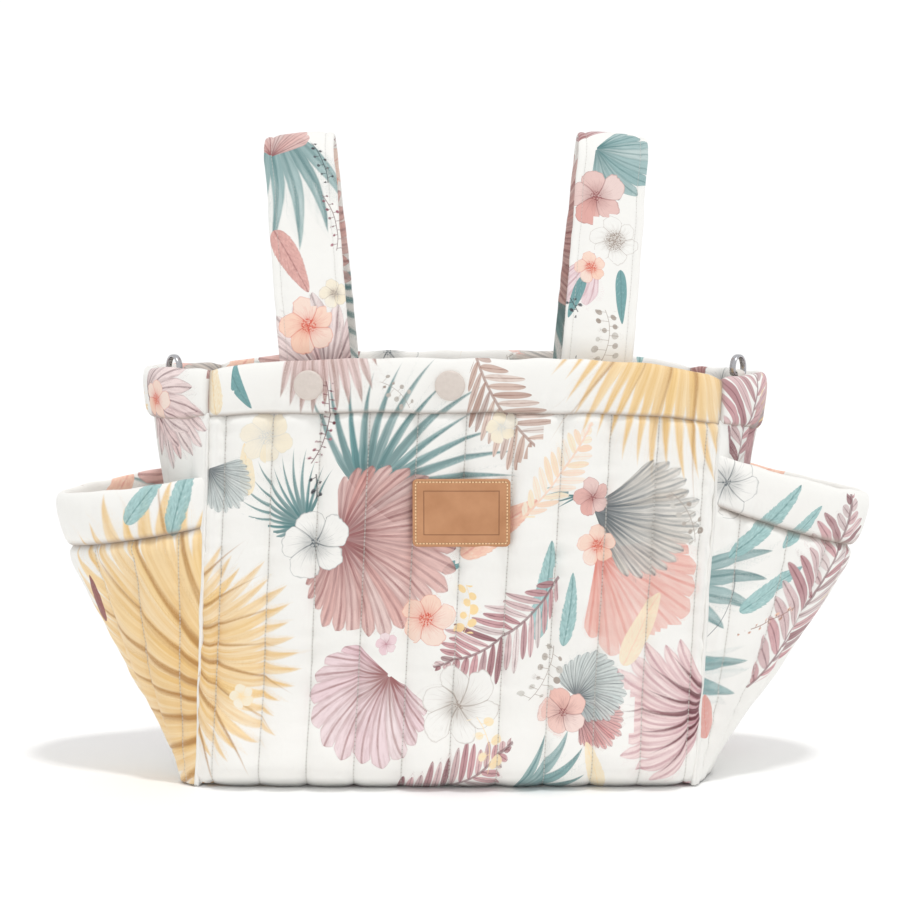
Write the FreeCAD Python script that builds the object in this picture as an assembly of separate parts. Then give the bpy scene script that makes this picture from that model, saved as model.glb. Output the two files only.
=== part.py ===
import FreeCAD, Part
import math
import os

# A quilted cotton diaper bag: a padded open-topped body, a flared pocket on each side, two loop
# handles that run from the front of the mouth to the back, press studs, a leather label and two D-rings.
# Millimetres. +X is to the right as the front is seen, the front faces -Y, and +Z is up.
# The origin is on the ground, under the middle of the bag.

Vector = FreeCAD.Vector
UP = Vector(0, 0, 1)

# Body, as (at the ground, at the top of the mouth)
HALF_WIDTH = (162.0, 165.0)      # middle to the corner seams
CORNER_DEPTH = (71.0, 62.0)      # middle to the corner seams, front to back
FRONT_BULGE = (4.0, 18.0)        # how far the front and back stand out past the corner seams
SIDE_BULGE = (3.0, 43.0)         # how far the sides stand out past the corner seams
HEIGHT = 278.0
GAP = 0.3                        # clearance between pieces that only lie side by side

# Wall layers, outside to inside
CLOTH = 3.0
WADDING = 4.0
LINING = 2.0
WALL = CLOTH + WADDING + LINING

# Base layers, bottom to top
BASE_CLOTH = 3.0
BOARD = 2.5
BASE_LINING = 2.0
FLOOR = BASE_CLOTH + BOARD + BASE_LINING

# Padded band round the mouth
BAND_HEIGHT = 34.0
BAND_BOTTOM = HEIGHT - BAND_HEIGHT
SIDE_TOP = HEIGHT - 10.0         # the mouth dips at the sides
SIDE_BAND_BOTTOM = SIDE_TOP - BAND_HEIGHT
BAND_PROUD = 3.0                 # it stands this far outside the wall
BAND_INSIDE = 8.0                # and reaches this far inside the wall's outer surface
BAND_CLOTH = 2.0

# Side pockets: reach past the corner seams at each height, widest at the mouth
POCKET_REACH = ((3.0, 7.0), (90.0, 66.0), (140.0, 91.0), (216.0, 113.0))
POCKET_SEAM_TOP = 209.0          # pocket mouth at the corner seams
POCKET_TIP_TOP = 184.0           # pocket mouth at its outer tip
POCKET_TIP_REACH = 104.0
POCKET_CLOTH = 2.0
POCKET_WADDING = 3.0
POCKET_LINING = 1.5
HEM_HEIGHT = 34.0
HEM_PROUD = 1.5
HEM_INSIDE = 7.5
ELASTIC_WIDTH = 20.0
ELASTIC_LAYER = (2.0, 4.0)

# Handles
HANDLE_X = 91.0                  # middle of each strap
STRAP_WIDTH = 46.0
STRAP_CLOTH = 1.5
STRAP_PADDING = 4.0
STRAP = STRAP_PADDING + 2 * STRAP_CLOTH
PADDING_INSET = 2.5              # the padding stops this far short of each edge
LEG_DEPTH = 56.0                 # middle to the upright foot of each leg, front to back
FOOT_TOP = 284.0                 # where the legs start to lean towards each other
FOOT_BEND = 30.0                 # radius of that bend
LEG_LEAN = math.radians(15.0)
CREST_RADIUS = 26.0
HANDLE_FLARE = 5.1               # degrees that each handle leans outwards
HINGE_Z = HEIGHT                 # each handle tips about the top of the band
ANCHOR_CLOTH = 1.6
ANCHOR_BOTTOM = 246.0
ANCHOR_TOP = 258.0
ANCHOR_CLEARANCE = 0.5

# Press studs
STUD_X = (-94.0, -4.0)
STUD_Z = 261.0
CAP_RADIUS = 9.5
CAP_HEIGHT = 2.4
STEM_RADIUS = 2.0
STEM_HOLE_RADIUS = 2.1
SOCKET_RADIUS = 6.0
SOCKET_HEIGHT = 2.5
NUB_RADIUS = 2.4
NUB_HEIGHT = 2.2

# Leather label
LABEL_LOW = (-28.0, 158.0)       # lower left corner, x and z
LABEL_HIGH = (34.6, 201.6)
LABEL_THICKNESS = 1.8
LABEL_CORNER = 3.0

# D-rings
RING_Y = -30.0                   # where on the side band the ring's tab is sewn
RING_STANDOFF = 4.2              # bar to the band's inner face
RING_BAR_Z = SIDE_TOP - 2.0
RING_HALF_WIDTH = 8.0            # middle of the metal
RING_LEG = 4.0
RING_METAL = 2.0
RING_DEPTH = 4.5
BAR_RADIUS = 1.3
TAB_BORE = 1.6
TAB_RADIUS = 2.9
TAB_WIDTH = 10.0
TAB_CLOTH = 1.9
TAB_DROP = 26.0

# Slip pocket on the back lining
SLIP_HALF_WIDTH = 100.0
SLIP_Z = (60.0, 190.0)
SLIP_DEPTH = 10.0
SLIP_CLOTH = 1.5

FAR = 400.0                      # longer than any piece, for cutting tools


def save(name, shape):
    """Writes one piece, after checking that it is a sound solid or group of solids."""
    if not shape.isValid() or not shape.Solids:
        raise ValueError(name + " is not a sound solid")
    shape.exportStep("parts/" + name + ".step")
    print(f"{name:24s} {len(shape.Solids)} solid(s) {shape.Volume / 1000:9.2f} cm3")


def group(shapes):
    """One shape that holds several separate solids."""
    return Part.Compound([solid for shape in shapes for solid in shape.Solids])


def to_back(shape):
    return shape.mirror(Vector(), Vector(0, 1, 0))


def to_left(shape):
    return shape.mirror(Vector(), Vector(1, 0, 0))


def box(low, high):
    size = [b - a for a, b in zip(low, high)]
    return Part.makeBox(*size, Vector(*low))


# --- The body's curved walls ---------------------------------------------------------------------

def at(z):
    """Half width, corner depth, front bulge and side bulge of the outer surface at height z."""
    share = z / HEIGHT
    ends = (HALF_WIDTH, CORNER_DEPTH, FRONT_BULGE, SIDE_BULGE)
    return [low + share * (high - low) for low, high in ends]


def curved_strip(outer, inner):
    """Closed wire round a curved strip, from three points on its outer arc and three on its inner."""
    return Part.Wire([
        Part.Arc(*outer).toShape(),
        Part.LineSegment(outer[2], inner[2]).toShape(),
        Part.Arc(*reversed(inner)).toShape(),
        Part.LineSegment(inner[0], outer[0]).toShape(),
    ])


def front_arc(z, offset, extra):
    """The front's arc at height z, moved in by offset and longer by extra at each end."""
    half_width, depth, bulge, _ = at(z)
    end = half_width + extra
    return (Vector(-end, offset - depth, z), Vector(0, offset - depth - bulge, z), Vector(end, offset - depth, z))


def side_arc(z, offset, inset):
    """The right side's arc at height z, moved in by offset and shorter by inset at each end."""
    half_width, depth, _, bulge = at(z)
    end, x = depth - inset, half_width - offset
    return (Vector(x, -end, z), Vector(x + bulge, 0, z), Vector(x, end, z))


def front_wall(z0, z1, outer, inner, extra=0.0):
    wires = [curved_strip(front_arc(z, outer, extra), front_arc(z, inner, extra)) for z in (z0, z1)]
    return Part.makeLoft(wires, True, True)


def side_wall(z0, z1, outer, inner, inset):
    wires = [curved_strip(side_arc(z, outer, inset), side_arc(z, inner, inset)) for z in (z0, z1)]
    return Part.makeLoft(wires, True, True)


def arc_depth(points, x):
    """The y of a front arc, given by its three points, at x."""
    half_chord, rise = points[2].x, points[0].y - points[1].y
    radius = (half_chord ** 2 + rise ** 2) / (2 * rise)
    return points[1].y + radius - math.sqrt(radius ** 2 - x ** 2)


def footprint(z, offset):
    """Face over the whole plan of the body at height z, moved in by offset."""
    front, side = front_arc(z, offset, -offset), side_arc(z, offset, offset)
    edges = []
    for points in (front, side, [to_y(p) for p in reversed(front)], [to_x(p) for p in reversed(side)]):
        edges.append(Part.Arc(*points).toShape())
    return Part.Face(Part.Wire(edges))


def to_y(point):
    return Vector(point.x, -point.y, point.z)


def to_x(point):
    return Vector(-point.x, point.y, point.z)


def walls():
    """Front, back and gussets: printed cloth, wadding and lining, one inside the other."""
    layers = (("panel", "gusset", 0.0, CLOTH), ("wadding", "wadding", CLOTH, CLOTH + WADDING),
              ("lining", "lining", CLOTH + WADDING, WALL))
    for front_name, side_name, outer, inner in layers:
        front = front_wall(BASE_CLOTH, BAND_BOTTOM, outer, inner)
        side = side_wall(BASE_CLOTH, SIDE_BAND_BOTTOM, outer, inner, WALL + GAP)
        save("front_" + front_name, front)
        save("back_" + front_name, to_back(front))
        save("right_" + side_name, side)
        save("left_" + side_name, to_left(side))


def base():
    """Cloth under the bag, a stiff board on it, and the lining over the board."""
    up = lambda height: Vector(0, 0, height)
    save("base_panel", footprint(0, 0).extrude(up(BASE_CLOTH)))
    inside = WALL + GAP
    save("base_board", footprint(BASE_CLOTH, inside).extrude(up(BOARD)))
    save("base_lining", footprint(BASE_CLOTH + BOARD, inside).extrude(up(BASE_LINING)))


def stud_frames(face):
    """A placement for each press stud on one face of the front band: its own +Z points out of the bag."""
    frames = []
    for x in STUD_X:
        y = arc_depth(face, x)
        slope = math.degrees(math.atan2(arc_depth(face, x + 1) - arc_depth(face, x - 1), 2))
        turn = FreeCAD.Rotation(UP, slope).multiply(FreeCAD.Rotation(Vector(1, 0, 0), 90))
        frames.append(FreeCAD.Placement(Vector(x, y, STUD_Z), turn))
    return frames


def placed(shape, placement):
    copy = shape.copy()
    copy.Placement = placement
    return copy


def bands():
    """The padded band round the mouth: a folded cloth channel over a roll of wadding, on each side."""
    outer, inner = -BAND_PROUD, BAND_INSIDE
    core = (outer + BAND_CLOTH, inner - BAND_CLOTH)
    outer_face = front_arc(STUD_Z, outer, BAND_PROUD)
    stem = Part.makeCylinder(STEM_HOLE_RADIUS, 3 * BAND_INSIDE, Vector(0, 0, -2 * BAND_INSIDE))
    holes = Part.makeCompound([placed(stem, frame) for frame in stud_frames(outer_face)])

    front_core = front_wall(BAND_BOTTOM, HEIGHT - BAND_CLOTH, *core, extra=BAND_PROUD)
    front = front_wall(BAND_BOTTOM, HEIGHT, outer, inner, extra=BAND_PROUD).cut(front_core)
    side_core = side_wall(SIDE_BAND_BOTTOM, SIDE_TOP - BAND_CLOTH, *core, WALL + GAP)
    side = side_wall(SIDE_BAND_BOTTOM, SIDE_TOP, outer, inner, WALL + GAP).cut(side_core)
    front, front_core = front.cut(holes), front_core.cut(holes)
    save("front_band", front)
    save("back_band", to_back(front))
    save("right_band", side)
    save("left_band", to_left(side))
    save("front_band_wadding", front_core)
    save("back_band_wadding", to_back(front_core))
    save("right_band_wadding", side_core)
    save("left_band_wadding", to_left(side_core))


# --- Side pockets --------------------------------------------------------------------------------

def pocket_curve(z, reach, offset):
    """Half an ellipse in plan, from the front corner seam round the tip to the back corner seam."""
    half_width, depth = at(z)[:2]
    curve = Part.BSplineCurve()
    curve.interpolate([
        Vector(half_width + GAP + (reach - offset) * math.cos(turn), (depth - offset) * math.sin(turn), z)
        for turn in (math.pi * step / 10 - math.pi / 2 for step in range(11))
    ])
    return curve


def pocket_layer(outer, inner):
    wires = []
    for z, reach in POCKET_REACH:
        out, into = pocket_curve(z, reach, outer), pocket_curve(z, reach, inner)
        wires.append(Part.Wire([
            out.toShape(),
            Part.LineSegment(out.EndPoint, into.EndPoint).toShape(),
            into.toShape(),
            Part.LineSegment(into.StartPoint, out.StartPoint).toShape(),
        ]))
    return Part.makeLoft(wires, True, True)


def above_pocket_line(drop):
    """Everything above a line that runs parallel to the pocket's mouth, drop below it."""
    seam_x = HALF_WIDTH[1]
    slope = (POCKET_TIP_TOP - POCKET_SEAM_TOP) / POCKET_TIP_REACH
    start, end = seam_x - 10, seam_x + FAR / 2
    line = [Vector(x, -FAR, POCKET_SEAM_TOP - drop + slope * (x - seam_x)) for x in (start, end)]
    corners = line + [Vector(end, -FAR, FAR), Vector(start, -FAR, FAR), line[0]]
    return Part.Face(Part.makePolygon(corners)).extrude(Vector(0, 2 * FAR, 0))


def pocket_stretch(outer, inner, top, bottom=None):
    """The part of a pocket layer between two drops below the mouth, or from a drop down to the base."""
    layer = pocket_layer(outer, inner).cut(above_pocket_line(top))
    return layer if bottom is None else layer.common(above_pocket_line(bottom))


def pockets():
    """Flared side pockets: cloth, wadding and lining under a folded hem that holds flat elastic."""
    edges = [0.0, POCKET_CLOTH, POCKET_CLOTH + POCKET_WADDING, POCKET_CLOTH + POCKET_WADDING + POCKET_LINING]
    margin = (HEM_HEIGHT - ELASTIC_WIDTH) / 2
    gusset_room = side_wall(0, BAND_BOTTOM, -GAP, WALL, WALL + GAP)
    elastic = pocket_stretch(*ELASTIC_LAYER, margin, margin + ELASTIC_WIDTH)
    pieces = {"pocket_hem": pocket_stretch(-HEM_PROUD, HEM_INSIDE, 0, HEM_HEIGHT).cut(elastic),
              "pocket_elastic": elastic}
    for name, outer, inner in zip(("pocket", "pocket_wadding", "pocket_lining"), edges, edges[1:]):
        pieces[name] = pocket_stretch(outer, inner, HEM_HEIGHT).cut(gusset_room)
    for name, shape in pieces.items():
        save("right_" + name, shape)
        save("left_" + name, to_left(shape))


# --- Handles -------------------------------------------------------------------------------------

def handle_path(offset):
    """Edges of the loop's side view at one offset outwards from its middle, front foot to back foot."""
    sin, cos = math.sin(LEG_LEAN), math.cos(LEG_LEAN)
    leg = (LEG_DEPTH - FOOT_BEND + (FOOT_BEND - CREST_RADIUS) * cos) / sin
    crest_z = FOOT_TOP + (FOOT_BEND - CREST_RADIUS) * sin + leg * cos
    bend_y, bend = FOOT_BEND - LEG_DEPTH, FOOT_BEND + offset
    crest = CREST_RADIUS + offset
    half = math.sin(LEG_LEAN / 2), math.cos(LEG_LEAN / 2)
    foot = Vector(0, -LEG_DEPTH - offset, HINGE_Z - STRAP_WIDTH / 2)
    bend_start = Vector(0, -LEG_DEPTH - offset, FOOT_TOP)
    bend_middle = Vector(0, bend_y - bend * half[1], FOOT_TOP + bend * half[0])
    bend_end = Vector(0, bend_y - bend * cos, FOOT_TOP + bend * sin)
    crest_start = Vector(0, -crest * cos, crest_z + crest * sin)
    top = Vector(0, 0, crest_z + crest)
    front = [Part.LineSegment(foot, bend_start), Part.Arc(bend_start, bend_middle, bend_end),
             Part.LineSegment(bend_end, crest_start)]
    edges = [curve.toShape() for curve in front]
    back = [to_back(edge) for edge in edges]
    return edges + [Part.Arc(crest_start, top, to_y(crest_start)).toShape()] + back[::-1], foot


def handle_layer(outer, inner, width):
    """One layer of the right handle, between two offsets, with round lower ends about its hinge."""
    outer_edges, outer_foot = handle_path(outer)
    inner_edges, inner_foot = handle_path(inner)
    ends = [Part.LineSegment(outer_foot, inner_foot).toShape(),
            Part.LineSegment(to_y(outer_foot), to_y(inner_foot)).toShape()]
    outline = Part.Wire(Part.__sortEdges__(outer_edges + inner_edges + ends))
    loop = Part.Face(outline).extrude(Vector(width, 0, 0))
    loop.translate(Vector(HANDLE_X - width / 2, 0, 0))
    round_end = Part.makeCylinder(width / 2, 2 * FAR, Vector(HANDLE_X, -FAR, HINGE_Z), Vector(0, 1, 0))
    upper = box((HANDLE_X - width / 2, -FAR, HINGE_Z), (HANDLE_X + width / 2, FAR, 2 * FAR))
    loop = loop.common(round_end.fuse(upper)).removeSplitter()
    loop.rotate(Vector(HANDLE_X, 0, HINGE_Z), Vector(0, 1, 0), HANDLE_FLARE)
    return loop


def handles():
    """Each handle is two strips of cloth over padding; its round feet sit in anchors behind the band."""
    half = STRAP / 2
    layers = {"handle_outer": (half, half - STRAP_CLOTH, STRAP_WIDTH),
              "handle_padding": (half - STRAP_CLOTH, STRAP_CLOTH - half, STRAP_WIDTH - 2 * PADDING_INSET),
              "handle_inner": (STRAP_CLOTH - half, -half, STRAP_WIDTH)}
    for name, (outer, inner, width) in layers.items():
        layer = handle_layer(outer, inner, width)
        save("right_" + name, layer)
        save("left_" + name, to_left(layer))


def anchors():
    """Cloth tabs sewn to the inside of the band that close over the handles' feet."""
    clear = STRAP_WIDTH / 2 + ANCHOR_CLEARANCE
    side = clear + 3 * ANCHOR_CLOTH
    cavity_outer = -LEG_DEPTH - STRAP / 2 - ANCHOR_CLEARANCE
    cavity_inner = -LEG_DEPTH + STRAP / 2 + ANCHOR_CLEARANCE
    block = box((HANDLE_X - side, -CORNER_DEPTH[1] - FRONT_BULGE[1], ANCHOR_BOTTOM),
                (HANDLE_X + side, cavity_inner + ANCHOR_CLOTH, ANCHOR_TOP))
    slot = Part.makeCylinder(clear, cavity_inner - cavity_outer, Vector(HANDLE_X, cavity_outer, HINGE_Z),
                             Vector(0, 1, 0))
    band = front_wall(BAND_BOTTOM - 1, HEIGHT + 1, -2 * BAND_INSIDE, BAND_INSIDE, extra=BAND_PROUD)
    socket = Part.makeCylinder(SOCKET_RADIUS + 1, 2 * BAND_INSIDE, Vector(0, 0, -1.5 * BAND_INSIDE))
    inner_face = front_arc(STUD_Z, BAND_INSIDE, BAND_PROUD)
    stud_room = placed(socket, stud_frames(inner_face)[0])
    front = block.cut(slot).cut(band)
    for side_name, plain in (("right", front), ("left", to_left(front))):
        shape = plain.cut(stud_room)
        save(side_name + "_handle_anchors", group([shape, to_back(shape)]))


# --- Fittings ------------------------------------------------------------------------------------

def studs():
    """Two press studs: caps and sockets on the front band, caps and nubs on the back band."""
    outer_frames = stud_frames(front_arc(STUD_Z, -BAND_PROUD - GAP, BAND_PROUD))
    inner_frames = stud_frames(front_arc(STUD_Z, BAND_INSIDE + GAP, BAND_PROUD))
    cap = Part.makeCylinder(CAP_RADIUS, CAP_HEIGHT)
    rim = [edge for edge in cap.Edges if abs(edge.CenterOfMass.z - CAP_HEIGHT) < 0.01]
    cap = cap.makeFillet(CAP_HEIGHT / 2, rim)
    stem_length = BAND_PROUD + BAND_INSIDE + GAP
    cap = cap.fuse(Part.makeCylinder(STEM_RADIUS, stem_length, Vector(0, 0, -stem_length)))
    plate = Part.makeCylinder(SOCKET_RADIUS, SOCKET_HEIGHT, Vector(0, 0, -SOCKET_HEIGHT))
    recess = Part.makeCylinder(NUB_RADIUS + 0.2, SOCKET_HEIGHT / 2, Vector(0, 0, -SOCKET_HEIGHT))
    socket = plate.cut(recess)
    thin_plate = Part.makeCylinder(SOCKET_RADIUS, SOCKET_HEIGHT / 2, Vector(0, 0, -SOCKET_HEIGHT / 2))
    nub = thin_plate.fuse(Part.makeCylinder(NUB_RADIUS, NUB_HEIGHT, Vector(0, 0, -NUB_HEIGHT)))
    caps = group([placed(cap, frame) for frame in outer_frames])
    save("front_stud_caps", caps)
    save("back_stud_caps", to_back(caps))
    save("front_stud_sockets", group([placed(socket, frame) for frame in inner_frames]))
    save("back_stud_nubs", to_back(group([placed(nub, frame) for frame in inner_frames])))


def label():
    """A leather patch that follows the curve of the front."""
    low, high = LABEL_LOW, LABEL_HIGH
    sheet = front_wall(BASE_CLOTH, BAND_BOTTOM, -LABEL_THICKNESS, 0.0)
    outline = box((low[0], -FAR, low[1]), (high[0], 0, high[1]))
    corners = [edge for edge in outline.Edges if abs(edge.tangentAt(edge.FirstParameter).y) > 0.9]
    save("label", sheet.common(outline.makeFillet(LABEL_CORNER, corners)))


def ring_frame():
    """Placement of the right D-ring: its own X runs along the bar and its own Y into the bag."""
    points = side_arc(RING_BAR_Z, BAND_INSIDE, WALL + GAP)
    rise, half_chord = points[1].x - points[0].x, points[2].y
    radius = (half_chord ** 2 + rise ** 2) / (2 * rise)
    centre = Vector(points[1].x - radius, 0, RING_BAR_Z)
    face = Vector(centre.x + math.sqrt(radius ** 2 - RING_Y ** 2), RING_Y, RING_BAR_Z)
    inward = (centre - face).normalize()
    along = inward.cross(UP)
    middle = face + inward * RING_STANDOFF
    return FreeCAD.Placement(middle, FreeCAD.Rotation(along, inward, UP, "ZXY"))


def d_outline(offset):
    """Face inside a D, open at the bottom bar, at one offset from the middle of the metal."""
    reach = RING_HALF_WIDTH + offset
    low, high = Vector(-reach, 0, 0), Vector(reach, 0, 0)
    left, right = Vector(-reach, 0, RING_LEG), Vector(reach, 0, RING_LEG)
    edges = [Part.LineSegment(high, right), Part.Arc(right, Vector(0, 0, RING_LEG + reach), left),
             Part.LineSegment(left, low), Part.LineSegment(low, high)]
    return Part.Face(Part.Wire([edge.toShape() for edge in edges]))


def rings():
    """D-rings of flat metal on a round bar, each held by a cloth tab sewn inside the side band."""
    frame = ring_frame()
    depth = Vector(0, RING_DEPTH, 0)
    ring = d_outline(RING_METAL / 2).extrude(depth).cut(d_outline(-RING_METAL / 2).extrude(depth))
    ring.translate(Vector(0, -RING_DEPTH / 2, 0))
    bar = Part.makeCylinder(BAR_RADIUS, 2 * RING_HALF_WIDTH, Vector(-RING_HALF_WIDTH, 0, 0), Vector(1, 0, 0))
    ring = placed(ring.fuse(bar), frame)
    save("right_ring", ring)
    save("left_ring", to_left(ring))

    half = TAB_WIDTH / 2
    along = Vector(1, 0, 0)
    loop = Part.makeCylinder(TAB_RADIUS, TAB_WIDTH, Vector(-half, 0, 0), along)
    tail = box((-half, -RING_STANDOFF - 1, -TAB_DROP), (half, TAB_CLOTH - RING_STANDOFF, TAB_RADIUS / 2))
    bore = Part.makeCylinder(TAB_BORE, 2 * TAB_WIDTH, Vector(-TAB_WIDTH, 0, 0), along)
    band = side_wall(SIDE_BAND_BOTTOM, SIDE_TOP, -2 * BAND_INSIDE, BAND_INSIDE, WALL + GAP)
    tab = placed(loop.fuse(tail).cut(bore), frame).cut(band)
    save("right_ring_tab", tab)
    save("left_ring_tab", to_left(tab))
    for name, direction in (("middle", frame.Base), ("bar", frame.Rotation.multVec(along))):
        print("right ring", name, [round(value, 4) for value in direction])


def slip_pocket():
    """An open-topped cloth pocket on the back lining."""
    low, high = SLIP_Z
    outer, inner = WALL, WALL + SLIP_DEPTH + SLIP_CLOTH
    block = front_wall(low, high, outer, inner)
    hollow = front_wall(low, high, outer, inner - SLIP_CLOTH)
    width = SLIP_HALF_WIDTH
    block = block.common(box((-width, -FAR, low), (width, 0, high)))
    room = box((SLIP_CLOTH - width, -FAR, low + SLIP_CLOTH), (width - SLIP_CLOTH, 0, high + 1))
    save("slip_pocket", to_back(block.cut(hollow.common(room))))


def main():
    os.makedirs("parts", exist_ok=True)
    walls()
    base()
    bands()
    pockets()
    handles()
    anchors()
    studs()
    label()
    rings()
    slip_pocket()


main()
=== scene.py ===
import math

import bmesh
import bpy
import numpy as np
from mathutils import Matrix, Vector, noise


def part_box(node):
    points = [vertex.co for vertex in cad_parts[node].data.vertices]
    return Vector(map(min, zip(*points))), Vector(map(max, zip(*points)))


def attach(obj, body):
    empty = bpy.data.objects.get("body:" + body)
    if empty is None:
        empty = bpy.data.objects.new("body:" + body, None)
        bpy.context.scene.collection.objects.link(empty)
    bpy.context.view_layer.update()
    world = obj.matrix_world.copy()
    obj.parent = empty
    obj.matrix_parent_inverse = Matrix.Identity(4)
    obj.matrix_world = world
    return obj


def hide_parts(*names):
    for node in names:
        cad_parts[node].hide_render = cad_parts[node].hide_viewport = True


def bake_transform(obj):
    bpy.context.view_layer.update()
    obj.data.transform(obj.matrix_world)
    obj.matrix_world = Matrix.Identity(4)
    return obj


# The soft, printed and stitched skin of a quilted diaper bag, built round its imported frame.
# Shapes are worked out in millimetres, in the frame's own axes, and written to Blender in metres.

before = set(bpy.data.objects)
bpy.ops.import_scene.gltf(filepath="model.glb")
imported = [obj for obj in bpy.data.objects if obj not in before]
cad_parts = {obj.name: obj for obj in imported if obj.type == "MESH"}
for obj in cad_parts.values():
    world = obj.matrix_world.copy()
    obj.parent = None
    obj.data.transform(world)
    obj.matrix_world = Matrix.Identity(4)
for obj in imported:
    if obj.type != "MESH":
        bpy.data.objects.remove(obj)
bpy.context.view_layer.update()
MM = 0.001


def span(node, axis):
    """Lowest and highest of a CAD node along one axis, in millimetres."""
    low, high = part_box(node)
    return low[axis] / MM, high[axis] / MM


HEIGHT = span("front_band", 2)[1]
SEAM = span("front_band", 2)[0]
HALF_WIDTH = (162.0, 165.0)      # body, as (at the ground, at the mouth)
DEPTH = (71.0, 62.0)
FRONT_BULGE = (4.0, 18.0)
SIDE_BULGE = (3.0, 43.0)
FRONT_RUN = 165.0                # middle to the corner seams along the flat cloth
SIDE_RUN = 80.0
QUILT_PITCH = 31.05              # between the vertical lines of quilting
FIRST_LINE = -153.6
HANDLE_X = 91.0
SIDES = (("left", -1), ("right", 1))


# --- Shader arithmetic ---

class Field:
    """A number that varies over a surface. Arithmetic on fields adds Math nodes to the open tree."""
    tree = None

    def __init__(self, socket):
        self.socket = socket

    def __abs__(self):
        return sums("ABSOLUTE", self)


def arithmetic(operation):
    """An operator's two methods, with the field on its left and on its right."""
    return (lambda self, other: sums(operation, self, other),
            lambda self, other: sums(operation, other, self))


for mark, operation in (("add", "ADD"), ("sub", "SUBTRACT"), ("mul", "MULTIPLY"), ("truediv", "DIVIDE"),
                        ("pow", "POWER")):
    on_left, on_right = arithmetic(operation)
    setattr(Field, f"__{mark}__", on_left)
    setattr(Field, f"__r{mark}__", on_right)


def plug(socket, value):
    """Feeds a field, a socket or a constant into an input."""
    if isinstance(value, Field):
        value = value.socket
    if isinstance(value, bpy.types.NodeSocket):
        Field.tree.links.new(value, socket)
    else:
        socket.default_value = value


def add_node(kind, **settings):
    node = Field.tree.nodes.new(kind)
    for name, value in settings.items():
        setattr(node, name, value)
    return node


def sums(operation, *values):
    node = add_node("ShaderNodeMath", operation=operation)
    for socket, value in zip(node.inputs, values):
        plug(socket, value)
    return Field(node.outputs[0])


def lowest(a, b):
    return sums("MINIMUM", a, b)


def highest(a, b):
    return sums("MAXIMUM", a, b)


def over(a, b):
    """1 where a is more than b, else 0."""
    return sums("GREATER_THAN", a, b)


def ramp(value, start, end, low=0.0, high=1.0):
    """Smoothly from low at start to high at end, and level beyond them."""
    node = add_node("ShaderNodeMapRange", interpolation_type="SMOOTHSTEP")
    for socket, entry in zip(node.inputs, (value, start, end, low, high)):
        plug(socket, entry)
    return Field(node.outputs[0])


def vector(x, y, z=0.0):
    node = add_node("ShaderNodeCombineXYZ")
    for socket, value in zip(node.inputs, (x, y, z)):
        plug(socket, value)
    return node.outputs[0]


def parts(socket):
    node = add_node("ShaderNodeSeparateXYZ")
    Field.tree.links.new(socket, node.inputs[0])
    return [Field(output) for output in node.outputs]


def dice(value):
    """Three random numbers that change only where value does."""
    node = add_node("ShaderNodeTexWhiteNoise", noise_dimensions="1D")
    plug(node.inputs["W"], value)
    return parts(node.outputs["Color"])


def cloud(coordinates, scale, detail=2.0, roughness=0.5):
    node = add_node("ShaderNodeTexNoise")
    plug(node.inputs["Vector"], coordinates)
    node.inputs["Scale"].default_value = scale
    node.inputs["Detail"].default_value = detail
    node.inputs["Roughness"].default_value = roughness
    return Field(node.outputs["Fac"])


def blend_colours(factor, a, b):
    node = add_node("ShaderNodeMix", data_type="RGBA", clamp_factor=True)
    for socket, value in zip((node.inputs[0], node.inputs[6], node.inputs[7]), (factor, a, b)):
        plug(socket, value)
    return node.outputs[2]


def srgb(red, green, blue):
    """Linear colour of an 8-bit screen colour."""
    def linear(level):
        share = level / 255
        return share / 12.92 if share <= 0.04045 else ((share + 0.055) / 1.055) ** 2.4
    return (linear(red), linear(green), linear(blue), 1.0)


# --- The print: motifs painted in layers ---

WHITE = srgb(243, 242, 238)
CREAM = srgb(244, 232, 206)
TEAL = srgb(168, 204, 203)
SEA = srgb(112, 162, 164)
DEEP_TEAL = srgb(78, 124, 126)
MIST = srgb(204, 214, 212)
YELLOW = srgb(248, 219, 166)
OCHRE = srgb(232, 192, 124)
BRONZE = srgb(178, 130, 74)
PEACH = srgb(246, 206, 184)
SALMON = srgb(238, 190, 178)
CORAL = srgb(222, 142, 130)
RED = srgb(214, 96, 78)
BLUSH = srgb(243, 216, 214)
PINK = srgb(224, 172, 164)
ROSE = srgb(224, 156, 154)
LILAC = srgb(236, 208, 214)
MAUVE_PALE = srgb(216, 172, 175)
MAUVE = srgb(186, 132, 142)
WINE = srgb(150, 92, 92)
MAROON = srgb(104, 56, 64)
BEIGE = srgb(222, 200, 188)
GREIGE = srgb(222, 214, 204)
TAUPE = srgb(164, 150, 140)
UMBER = srgb(150, 108, 96)
GREY = srgb(218, 217, 211)
SLATE = srgb(104, 112, 116)
INK = srgb(56, 54, 60)

LAYERS = ("fan_back", "fan_mid", "plume", "frond", "fan_front", "flower", "sprig")
SOFT = 0.014                     # width of a motif's edge, as a share of its radius


def motif_group(name, paint):
    """A node group that paints one motif over the colour under it."""
    tree = bpy.data.node_groups.new(name, "ShaderNodeTree")
    Field.tree = tree
    for label, kind in (("Under", "Color"), ("Place", "Vector"), ("Shape", "Vector"),
                        ("Tint", "Color"), ("Ink", "Color")):
        tree.interface.new_socket(label, in_out="INPUT", socket_type="NodeSocket" + kind)
    tree.interface.new_socket("Colour", in_out="OUTPUT", socket_type="NodeSocketColor")
    source = tree.nodes.new("NodeGroupInput").outputs
    sink = tree.nodes.new("NodeGroupOutput").inputs
    colour, cover = paint(parts(source["Place"]), parts(source["Shape"]), source["Tint"], source["Ink"])
    tree.links.new(blend_colours(cover, source["Under"], colour), sink["Colour"])
    return tree


def radius_of(x, y):
    return sums("SQRT", x * x + y * y)


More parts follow.
